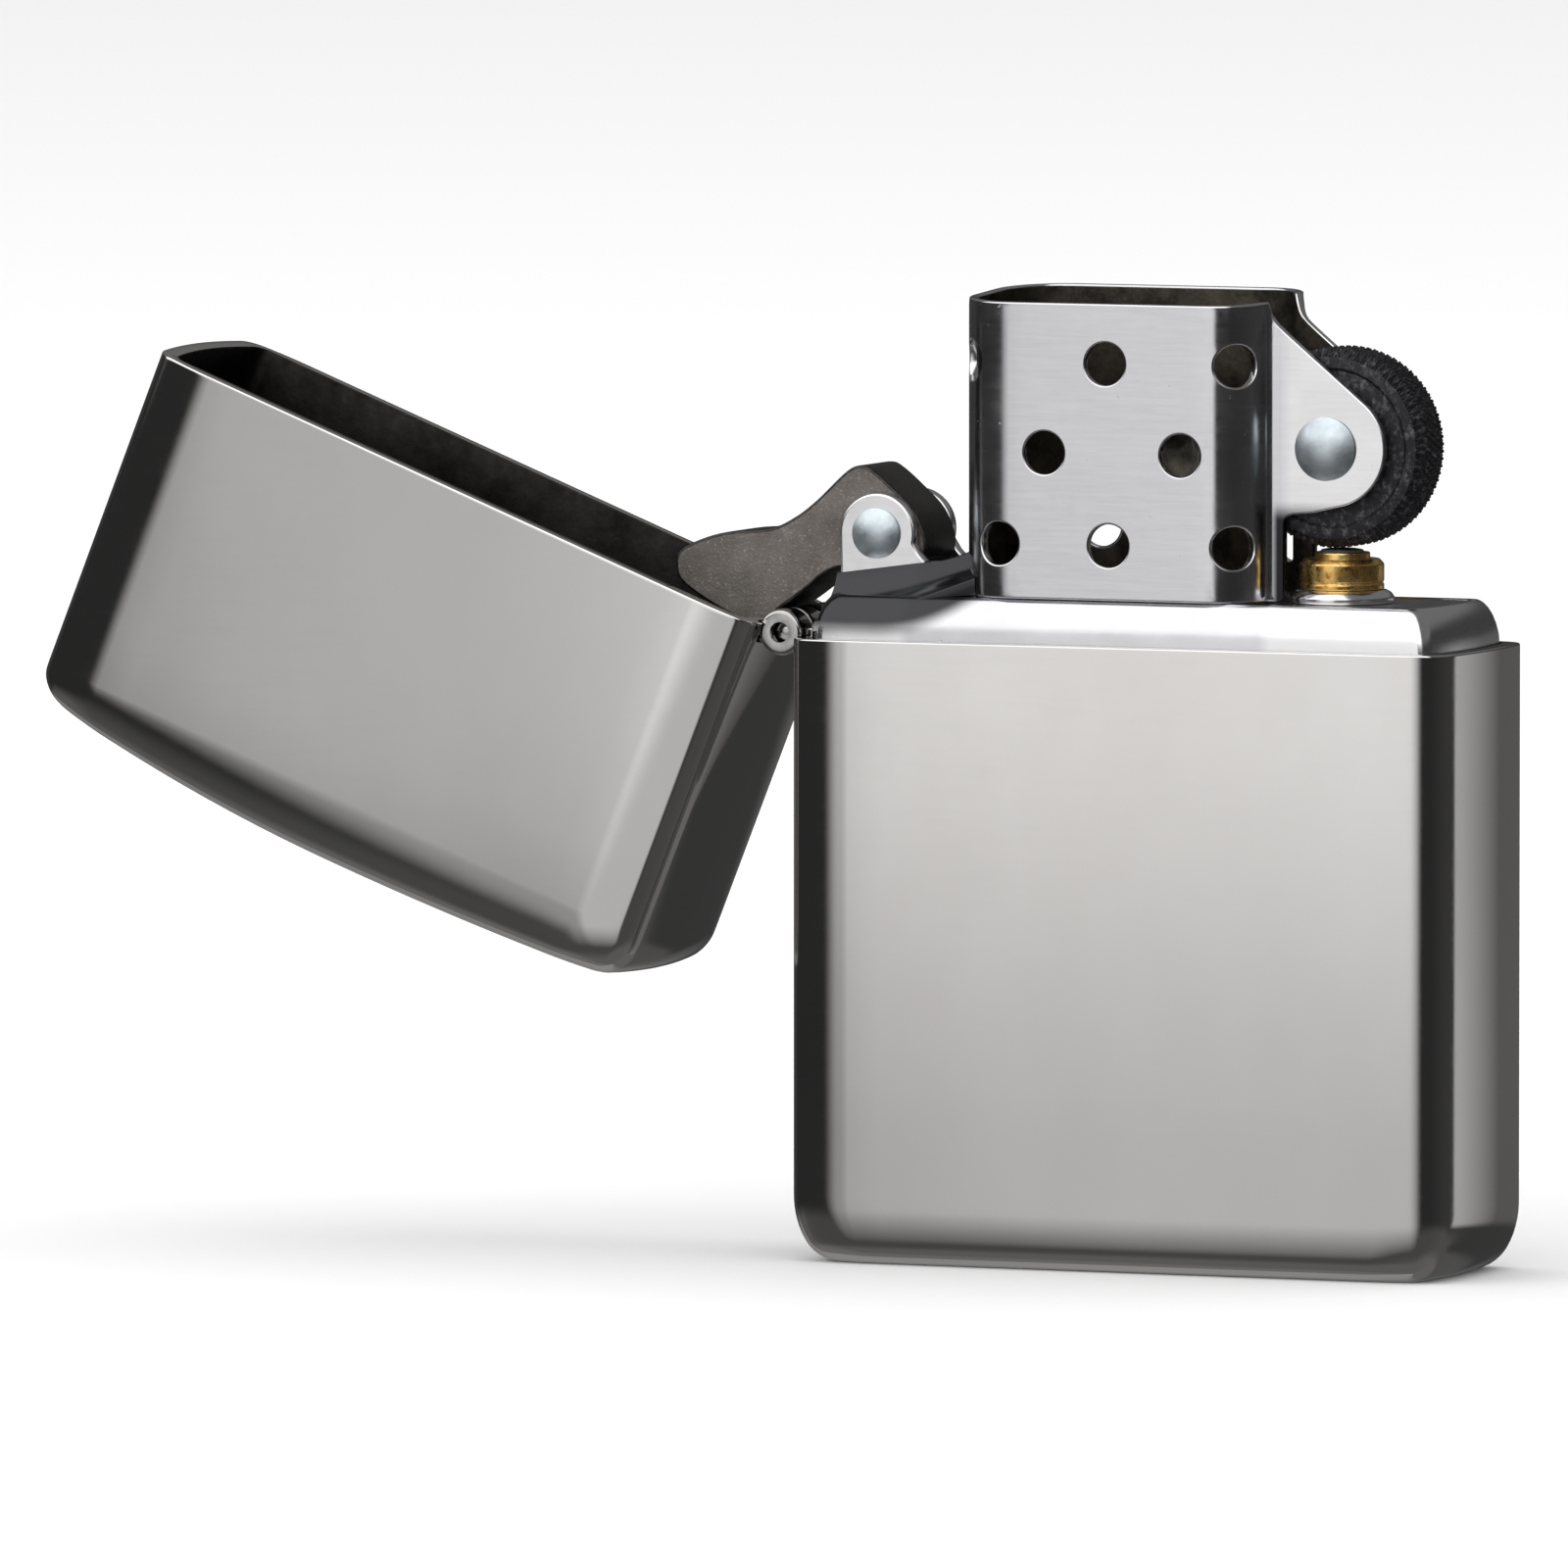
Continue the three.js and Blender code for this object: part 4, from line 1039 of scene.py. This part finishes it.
def sheet_segments():
    """The middle line of the chimney sheet for y < 0, from the cam end: arcs and straight runs."""
    half = SHEET / 2
    left, right, bend = CHIMNEY_LEFT_RADIUS - half, CHIMNEY_RIGHT_RADIUS - half, CHIMNEY_BEND_RADIUS
    front_y, ear_y = CHIMNEY_HALF_DEPTH - half, EAR_HALF_GAP + half
    turn = math.degrees(math.acos((ear_y - front_y + right + bend) / (right + bend)))
    end_x = CHIMNEY_FLAT_END_X + (right + bend) * math.sin(math.radians(turn))
    line = [(CHIMNEY_LEFT_X + half, 0.0)]
    line += sweep(CHIMNEY_LEFT_X + CHIMNEY_LEFT_RADIUS, left - front_y, left, 180, 270, 26)
    line += sweep(CHIMNEY_FLAT_END_X, right - front_y, right, -90, turn - 90, 20)
    line += sweep(end_x, -ear_y - bend, bend, 90 + turn, 90, 12)[1:]
    return line + [(20.0, -ear_y)]


class SheetLine:
    """Half of the bent sheet's middle line; the other half is its mirror image in y."""

    def __init__(self, points):
        self.points = [Vector(point) for point in points]
        self.lengths = [0.0]
        for a, b in zip(self.points, self.points[1:]):
            self.lengths.append(self.lengths[-1] + (b - a).length)
        self.normals = []
        for k in range(len(self.points)):
            before = self.points[max(0, k - 1)]
            after = self.points[min(len(self.points) - 1, k + 1)]
            heading = (after - before).normalized()
            self.normals.append(Vector((heading.y, -heading.x)))
        self.normals[0] = Vector((-1.0, 0.0))
        self.normals[-1] = self.normals[-2] = Vector((0.0, -1.0))

    def at(self, length):
        """The point and the outward normal at a signed length; negative lengths run round the back."""
        distance = min(abs(length), self.lengths[-1])
        k = 0
        while k < len(self.lengths) - 2 and self.lengths[k + 1] < distance:
            k += 1
        part = (distance - self.lengths[k]) / (self.lengths[k + 1] - self.lengths[k])
        point = self.points[k].lerp(self.points[k + 1], part)
        normal = self.normals[k].lerp(self.normals[k + 1], part).normalized()
        mirror = -1 if length < 0 else 1
        return (point.x, mirror * point.y), (normal.x, mirror * normal.y)

    def length_at(self, x):
        """The length along the front half where the sheet reaches x."""
        low, high = 0.0, self.lengths[-1]
        for _ in range(40):
            middle = (low + high) / 2
            if self.at(middle)[0][0] < x:
                low = middle
            else:
                high = middle
        return low


def ear_edge(base_z):
    """(x, z) points up the sheet's free edge: its foot, round the wheel's ear, and up to the rim."""
    x = CHIMNEY_RIGHT_X
    foot = [(x - 1, base_z), (x, base_z), (x, EAR_BOTTOM_Z), (x + 1.6, EAR_BOTTOM_Z + 0.15)]
    edge = rounded(foot, 0.5) + sweep(WHEEL_X + 0.2, WHEEL_Z, EAR_RADIUS, -80, 48, 22)
    return edge + rounded([edge[-1], (x + 0.1, 50.2), (x - 0.7, 50.9), (x - 1.0, 52.0)], 0.5)[1:-1]


def chimney_outline(line, base_z):
    """The unrolled sheet's outline in (length, height), anticlockwise."""
    front = [(line.length_at(x), z) for x, z in ear_edge(base_z)[1:]]
    rear = [(-u, z) for u, z in reversed(front)]
    foot_u, corner_u = front[0][0], line.length_at(CHIMNEY_RIGHT_X - 1.0)
    steps = 70
    base = [(lerp(-foot_u, foot_u, k / steps), base_z) for k in range(1, steps)]
    rim = []
    for k in range(steps + 1):
        u = lerp(corner_u, -corner_u, k / steps)
        across = (line.at(u)[0][1] + CHIMNEY_HALF_DEPTH) / (2 * CHIMNEY_HALF_DEPTH)
        rim.append((u, lerp(*CHIMNEY_TOP_Z, across)))
    return base + front + rim + rear


def chimney_holes(line):
    """The air holes in the front and back, and the axle's holes in the two ears."""
    holes = []
    for x, z in AIR_HOLES:
        rear_x, rear_z = REAR_HOLE_MOVED.get((x, z), (x, z))
        holes.append(circle(line.length_at(x), z, AIR_HOLE_RADIUS, 40))
        holes.append(circle(-line.length_at(rear_x), rear_z, AIR_HOLE_RADIUS, 40))
    axle_u = line.length_at(WHEEL_X)
    return holes + [circle(u, WHEEL_Z, RIVET_HOLE, 32) for u in (axle_u, -axle_u)]


def chimney_grid(line, base_z, end_u):
    """Points inside the sheet, in columns that follow its bends."""
    columns = []
    for a, b in zip(line.lengths, line.lengths[1:]):
        count = max(1, round((b - a) / 0.9))
        columns += [lerp(a, b, k / count) for k in range(count)]
    columns = [u for u in columns if u < end_u]
    return [(u, base_z + 0.35 + k * 0.8) for u in sorted({-u for u in columns} | set(columns))
            for k in range(21)]


def chimney_sheet():
    """The wind guard, bent from one sheet and sooty inside."""
    line = SheetLine(sheet_segments())

    def place(u, v, w):
        (x, y), (nx, ny) = line.at(u)
        return (x + nx * w, y + ny * w, v)

    base_z = TANK_TOP_Z + 0.02
    outline = chimney_outline(line, base_z)
    grid = chimney_grid(line, base_z, line.length_at(ear_edge(base_z)[-1][0]) + 8)
    points, faces, zones = zoned_plate(outline, chimney_holes(line), SHEET, 0.1, place, grid)
    add_piece("chimney_sheet", points, faces, [CHIMNEY, SOOTY, CHIMNEY], "insert", "bright_steel", "chimney",
              sharp_deg=50, face_materials=zones)


# ---------------------------------------------------------------- wheel, cam and their rivets


def wheel_profile():
    """The file wheel's closed (radius, y) profile: hub, dished face, raised ring and rim."""
    half = WHEEL_HALF_WIDTH
    rim_start = 4.86
    upper = [(1.0, half - 0.06), (1.08, half), (2.25, half), (2.4, half - 0.12), (4.15, half - 0.14),
             (4.3, half - 0.02), (4.8, half - 0.02), (rim_start, half - 0.04)]
    upper += [(lerp(rim_start, WHEEL_RADIUS, k / 4), half - 0.04 - 0.5 * k / 4) for k in range(1, 5)]
    upper += [(WHEEL_RADIUS, lerp(half - 0.54, 0.0, k / 9)) for k in range(1, 10)]
    profile = upper + [(radius, -y) for radius, y in reversed(upper[:-1])]
    return profile + [profile[0]]


def wheel_knurled():
    """A file wheel with crossed diagonal cuts round its rim."""
    steps, cuts, depth, smooth_radius = 960, 84, 0.13, 4.9
    points, rows = [], []
    for radius, y in wheel_profile():
        rows.append([len(points) + k for k in range(steps)])
        for k in range(steps):
            angle = 2 * math.pi * k / steps
            turn = k / steps * cuts
            ridge = min(abs((turn + slope * y) % 1 - 0.5) for slope in (1.1, -1.1))
            groove = depth * max(0.0, 1 - ridge / 0.2) if radius > smooth_radius else 0.0
            reach = radius - groove
            points.append((WHEEL_X + reach * math.cos(angle), y, WHEEL_Z + reach * math.sin(angle)))
    add_piece("wheel_knurled", points, between_rows(rows), [FILE], "wheel", "file_steel", "striker_wheel",
              sharp_deg=30)


def rivet(name, half, x, z, head, height, node_name):
    """A rivet along Y with a low round head on each side."""
    shaft, brim = 0.9, 0.14
    sphere = (head ** 2 + (height - brim) ** 2) / (2 * (height - brim))
    reach = math.asin(head / sphere)
    outer = [(shaft, half), (head - 0.06, half), (head, half + 0.06)]
    for step in range(11):
        angle = reach * (1 - step / 10)
        rise = sphere * (math.cos(angle) - math.cos(reach))
        outer.append((sphere * math.sin(angle), half + brim + rise))
    lower = [(radius, -y) for radius, y in reversed(outer)]
    shape = turned(lower + outer, "Y", (x, 0, z), 72)
    add_piece(name, *shape, [RIVET], "insert", "rivet_steel", node_name)


def cam_plate():
    """The cam, with its edges rubbed bare."""
    outline = smooth_closed(CAM_OUTLINE, 5)
    bore = circle(CAM_X, CAM_Z, 1.0)
    points, faces, zones = zoned_plate(outline, [bore], 2 * CAM_HALF_WIDTH, 0.13, upright(0.0))
    add_piece("cam_plate", points, faces, [RUBBED, CAST, CAST], "cam", "dark_cast", "cam_lever",
              face_materials=zones)


def cam_leaf_spring():
    """The bent strip under the cam."""
    left, top, right, foot, thickness = -16.6, 35.3, -11.0, 27.0, 0.2
    low, inner_x = top - thickness, right - thickness
    outer = rounded([(left, top), (right, top), (right, foot)], 1.0, 8)
    inner = rounded([(left, low), (inner_x, low), (inner_x, foot)], 0.8, 8)
    shape = plate(outer[::-1] + inner, [], 3.0, 0.04, upright(0.0))
    add_piece("cam_leaf_spring", *shape, [SPRING], "insert", "spring_steel", "cam_spring")


# ---------------------------------------------------------------- flint tube, flint and screw


def closed_profile(points):
    """Starts a closed profile in the middle of its first side, so that every corner is rounded."""
    start = tuple((a + b) / 2 for a, b in zip(points[0], points[1]))
    return [start] + points[1:] + [points[0], start]


def flint_part(name, profile, round_by, finish, slot, body, node_name):
    """A piece turned about the flint tube's axis."""
    shape = turned(rounded(profile, round_by), "Z", (WHEEL_X, 0, 0), 72)
    return add_piece(name, *shape, [finish], body, slot, node_name)


def flint_train():
    """The brass tube and its rings, and the flint, plunger and screw inside it."""
    barrel = [(1.26, 3.2), (1.26, 38.5), (1.5, 38.5), (1.5, 35.95), (1.9, 35.95), (1.9, 3.2)]
    washer = [(1.52, 35.8), (1.52, 36.5), (2.35, 36.5), (2.62, 36.36), (2.8, 36.12), (2.8, 35.8)]
    collar = [(1.52, 36.52), (1.52, 38.15), (2.0, 38.15), (2.25, 37.88), (2.25, 36.95), (2.17, 36.88),
              (2.25, 36.8), (2.25, 36.52)]
    flint = [(0, 33.7), (1.05, 33.7), (1.2, 33.85), (1.2, 38.45), (1.12, 38.62), (0.8, 38.68), (0, 38.7)]
    plunger = [(0, 31.08), (0.42, 31.08), (0.5, 31.2), (0.5, 32.88), (1.08, 32.88), (1.15, 33.0),
               (1.15, 33.6), (1.05, 33.68), (0, 33.68)]
    screw = [(0, 2.06), (1.9, 2.0), (2.2, 2.08), (2.3, 2.25), (2.3, 2.95), (2.18, 3.1), (1.2, 3.1),
             (1.2, 5.85), (1.05, 6.0), (0, 6.0)]
    flint_part("tube_barrel", closed_profile(barrel), 0.1, BRASS, "brass", "insert", "flint_tube")
    flint_part("tube_washer", closed_profile(washer), 0.08, SATIN, "bright_steel", "insert",
               "flint_tube_washer")
    flint_part("tube_collar", closed_profile(collar), 0.07, BRASS, "brass", "insert", "flint_tube_collar")
    flint_part("flint_rod", flint, 0.05, FLINT, "flint", "flint", "flint")
    flint_part("plunger_turned", plunger, 0.05, BRASS, "brass", "flint", "flint_plunger")
    turned_screw = flint_part("screw_turned", screw, 0.05, BRASS, "brass", "insert", "flint_screw")
    cut(turned_screw, [box_tool((WHEEL_X - 3, -0.25, 1), (WHEEL_X + 3, 0.25, 2.5))])


def finish_frame_spring():
    """The coil is the frame's own flexible piece, and only its material is set here."""
    for material_slot in bpy.data.objects.get("flint_spring").material_slots:
        material_slot.material = SPRING


# ---------------------------------------------------------------- wick, cotton and felt

LOOSE_THREADS = 26
GOLDEN_ANGLE = 2.39996


def wick_braid():
    """A braided cord: eight strands that cross over each other, frayed at the burnt end."""
    steps, levels, strands = 96, 260, 4
    low_z, high_z, radius = 6.0, 45.3, 1.38
    points, rows = [], []
    for level in range(levels + 1):
        z = lerp(low_z, high_z, level / levels)
        taper = 1.0 - 0.35 * max(0.0, (level / levels - 0.985) / 0.015)
        rows.append([len(points) + k for k in range(steps)])
        for k in range(steps):
            angle = 2 * math.pi * k / steps
            weave = [math.cos(strands * angle + way * z * 3.2) for way in (1, -1)]
            reach = taper * (radius + 0.1 * max(weave))
            points.append((WICK_X + reach * math.cos(angle), reach * math.sin(angle), z))
    faces = [tuple(reversed(rows[0])), tuple(rows[-1])] + between_rows(rows)
    threads = [frayed_end(number) for number in range(LOOSE_THREADS)]
    shape = merged((points, faces), *threads)
    add_piece("wick_braid", *shape, [WICK], "wick", "wick", "wick", sharp_deg=60)


def frayed_end(number):
    """One loose thread at the top of the wick, placed by the golden angle."""
    angle = number * GOLDEN_ANGLE
    out = Vector((math.cos(angle), math.sin(angle), 0))
    reach = 1.1 * math.sqrt((number + 0.5) / LOOSE_THREADS)
    base = Vector((WICK_X + reach * math.cos(angle), reach * math.sin(angle), 45.05))
    rise = 0.28 + 0.12 * math.sin(number * 1.7)
    points = []
    for level in range(4):
        centre = base + out * 0.18 * (level / 3) ** 2 + Vector((0, 0, (0.25 + rise) * level / 3))
        radius = 0.13 * (1 - 0.25 * level)
        for k in range(6):
            turn = math.pi * k / 3
            x, y = centre.x + radius * math.cos(turn), centre.y + radius * math.sin(turn)
            points.append((x, y, centre.z))
    faces = between_rows([range(level * 6, level * 6 + 6) for level in range(4)])
    return points, faces + [tuple(range(5, -1, -1)), tuple(range(18, 24))]


def cotton_lump(number):
    """A wad of cotton that fills its CAD box, with creases and tufts."""
    low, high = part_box(f"packing_{number}")
    centre = [(a + b) / 2 / MM for a, b in zip(low, high)]
    radii = [(b - a) / 2 / MM for a, b in zip(low, high)]
    work = bmesh.new()
    bmesh.ops.create_icosphere(work, subdivisions=5, radius=1.0)
    points = []
    for vertex in work.verts:
        fat = [math.copysign(abs(value) ** 0.72, value) for value in vertex.co]
        tuft = noise.fractal(vertex.co * 2.6 + Vector((number * 7.0, 0, 0)), 0.6, 2.2, 5)
        crease = abs(noise.noise(vertex.co * 1.7 + Vector((0, number * 5.0, 0))))
        scale = min(1.0, 0.95 + 0.05 * tuft - 0.10 * max(0.0, 0.12 - crease) / 0.12)
        points.append(tuple(c + r * f * scale for c, r, f in zip(centre, radii, fat)))
    faces = [tuple(vertex.index for vertex in face.verts) for face in work.faces]
    work.free()
    lump = add_piece(f"cotton_{number}", points, faces, [COTTON], "insert", "cotton",
                     f"packing_{number}", sharp_deg=80)


def felt_block():
    """The felt that closes the insert's open bottom, with a hole for the flint screw."""
    middle_z, thickness = 3.2, 2.3
    outline = plan_loop(*tank_plan(SHEET + 0.06), crown=False)
    hole = circle(WHEEL_X, 0, 2.4, 40)
    grid = [(x * 0.7 + 0.2, y * 0.7 + 0.1) for x in range(-25, 26) for y in range(-7, 8)]

    def place(u, v, w):
        fuzz = 0.06 * noise.noise(Vector((u * 0.9, v * 0.9, w * 3)))
        return (u, v, middle_z + w * 0.96 + math.copysign(fuzz, w) * 0.5)

    shape = plate(outline, [hole], thickness, 0.3, place, grid)
    felt = add_piece("felt_block", *shape, [FELT], "insert", "felt", "felt_pad", sharp_deg=60)


case_shell()
lid_shell()
hinge_leaf(-1, 0, "hinge_leaf_lower", "case", "hinge_leaf_case")
hinge_leaf(1, 1, "hinge_leaf_upper", "lid", "hinge_leaf_lid")
hinge_rod()
tank_body()
tank_top()
cam_ear(-1, "cam_ear_front")
cam_ear(1, "cam_ear_back")
chimney_sheet()
wheel_knurled()
rivet("wheel_rivet_domed", EAR_HALF_GAP + SHEET + 0.02, WHEEL_X, WHEEL_Z, 1.7, 0.65, "wheel_rivet")
rivet("cam_rivet_domed", CAM_EAR_GAP + CAM_EAR_SHEET + 0.02, CAM_X, CAM_Z, 1.35, 0.55, "cam_rivet")
cam_plate()
cam_leaf_spring()
flint_train()
finish_frame_spring()
wick_braid()
for number in range(1, 6):
    cotton_lump(number)
felt_block()

# ---------------------------------------------------------------- floor, light and camera

# The camera that was fitted to the photo. It stands off SIGHT and is aimed at FRAME_CENTRE.
AZIMUTH = math.radians(21.807)
ELEVATION = math.radians(3.77)
DISTANCE = 1.3692
SIGHT = Vector((0.0, -0.0066, 0.0335))
FRAME_CENTRE = Vector((-0.01595, -0.0135, 0.02624))
FOCAL_MM = 590.6
DOME_RADIUS = 360.0
DOME_CENTRE_Z = 30.0


def stage_mesh(name, points, faces, material):
    """A mesh of the studio, in metres, which is no part of the lighter."""
    mesh = bpy.data.meshes.new(name)
    mesh.from_pydata(points, [], faces)
    mesh.materials.append(material)
    made = linked(name, mesh)
    return made


def pale_floor():
    """White paper under the lighter, left out of reflections."""
    material = bpy.data.materials.new("pale_paper")
    material.use_nodes = True
    shader = material.node_tree.nodes["Principled BSDF"]
    shader.inputs["Base Color"].default_value = (0.86, 0.86, 0.86, 1)
    shader.inputs["Roughness"].default_value = 0.9
    shader.inputs["Specular IOR Level"].default_value = 0.1
    size = 12.0
    corners = [(-size, -size, 0), (size, -size, 0), (size, size, 0), (-size, size, 0)]
    floor = stage_mesh("floor", corners, [(0, 1, 2, 3)], material)
    floor.visible_glossy = False


def mirrored_only(card):
    """Leaves a card to be seen in reflections alone."""
    card.visible_camera = False
    card.visible_diffuse = False
    card.visible_transmission = False
    card.visible_shadow = False


def directions(made):
    """Azimuth and elevation in degrees of a place on the studio's dome, seen from its middle."""
    x, y, z = made.place()
    turn = made.math("DEGREES", made.math("ARCTAN2", x, made.times(y, -1.0)))
    azimuth = made.math("SUBTRACT", made.math("MODULO", made.plus(turn, 460.0), 360.0), 100.0)
    across = made.math("SQRT", made.plus(made.math("POWER", x, 2.0), made.math("POWER", y, 2.0)))
    elevation = made.math("DEGREES", made.math("ARCTAN2", made.math("SUBTRACT", z, DOME_CENTRE_Z), across))
    return azimuth, elevation


def front_cards(made, azimuth, elevation):
    """A soft card at the front left, dimmer at its left and foot, and a brighter one high above it."""
    fall = made.times(made.between(elevation, -9.0, -3.0, 0.60, 1.0, smooth=True),
                      made.between(elevation, -34.0, -16.0, 0.08, 1.0))
    level = made.times(made.between(azimuth, -28.5, -22.5, 0.58, 1.0, smooth=True), fall)
    low = made.times(made.window(azimuth, -29.5, 0.0, 9.0), made.window(elevation, -38.0, 30.0, 8.0))
    high = made.times(made.window(azimuth, -75.0, 30.0, 15.0), made.window(elevation, 18.0, 84.0, 8.0))
    return made.math("MAXIMUM", made.times(low, level), made.times(high, 1.5))


def rear_card(made, azimuth, elevation):
    """A card behind on the right, which fades towards the back. The case's side face mirrors it."""
    shape = made.times(made.window(azimuth, 143.0, 186.0, 2.0), made.window(elevation, -13.0, 0.5, 3.0))
    return made.times(shape, made.between(azimuth, 143.0, 160.0, 0.46, 0.07))


def walls(made, azimuth, elevation):
    """The dim room, a little lighter on the right and above."""
    return made.plus(made.between(azimuth, 40.0, 110.0, 0.028, 0.048),
                     made.between(elevation, 12.0, 22.0, 0.0, 0.12, smooth=True))


def floor_glow(made, azimuth, elevation):
    """The pale floor: brighter behind and straight down, and hidden where the lid's end mirrors it."""
    level = made.plus(made.between(azimuth, 185.0, 215.0, 0.05, 0.22, smooth=True),
                      made.between(azimuth, -75.0, -45.0, 0.05, 0.0, smooth=True))
    level = made.plus(level, made.between(elevation, -52.0, -36.0, 0.06, 0.0, smooth=True))
    lid_end = made.times(made.window(azimuth, 152.0, 180.0, 8.0),
                         made.window(elevation, -25.0, -14.0, 4.0))
    glow = made.times(made.between(elevation, -24.0, -13.0, 1.0, 0.0, smooth=True), level)
    return made.times(glow, made.math("SUBTRACT", 1.0, lid_end))


def studio_glow():
    """What polished metal sees: two cards in front, a dim one behind, the walls and the floor."""
    made = Finish("studio_glow")
    view = directions(made)
    lit = made.math("MAXIMUM", front_cards(made, *view), floor_glow(made, *view))
    level = made.plus(made.plus(lit, rear_card(made, *view)), walls(made, *view))
    glow = node(made.tree, "ShaderNodeEmission", {"Color": (1.0, 0.99, 0.985, 1.0), "Strength": level})
    made.tree.links.new(glow.outputs[0], made.tree.nodes["Material Output"].inputs["Surface"])
    made.tree.nodes.remove(made.shader)
    return made.material


def studio_dome():
    """A ball round the object, seen only in reflections."""
    work = bmesh.new()
    bmesh.ops.create_uvsphere(work, u_segments=64, v_segments=32, radius=DOME_RADIUS * MM)
    points = [tuple(vertex.co + Vector((0, 0, DOME_CENTRE_Z * MM))) for vertex in work.verts]
    faces = [tuple(vertex.index for vertex in face.verts) for face in work.faces]
    work.free()
    mirrored_only(stage_mesh("studio_dome", points, faces, studio_glow()))


def area_light(name, position, aim, size, watts):
    """A rectangular light, left out of reflections."""
    light = bpy.data.lights.new(name, "AREA")
    light.shape = "RECTANGLE"
    light.size, light.size_y = size
    light.energy = watts
    made = linked(name, light)
    made.location = position
    made.rotation_euler = (Vector(aim) - Vector(position)).to_track_quat("-Z", "Y").to_euler()
    made.visible_glossy = False


def photograph_camera():
    """The photo's camera."""
    level = math.cos(ELEVATION)
    back = Vector((math.sin(AZIMUTH) * level, -math.cos(AZIMUTH) * level, math.sin(ELEVATION)))
    lens = bpy.data.cameras.new("camera")
    lens.lens = FOCAL_MM
    lens.sensor_width = 36.0
    camera = linked("camera", lens)
    camera.location = SIGHT + back * DISTANCE
    camera.rotation_euler = (FRAME_CENTRE - camera.location).to_track_quat("-Z", "Y").to_euler()
    bpy.context.scene.camera = camera


pale_floor()
studio_dome()
area_light("overhead", (0.0, 0.1, 1.3), (0, 0, 0), (1.6, 1.6), 7)
area_light("front_left", (-0.7, -1.3, 0.9), (0, 0, 0.02), (0.9, 0.9), 5)

world = bpy.data.worlds.new("studio")
world.use_nodes = True
world.node_tree.nodes["Background"].inputs["Color"].default_value = (0.95, 0.95, 0.95, 1)
bpy.context.scene.world = world
bpy.context.scene.view_settings.view_transform = "Standard"

photograph_camera()
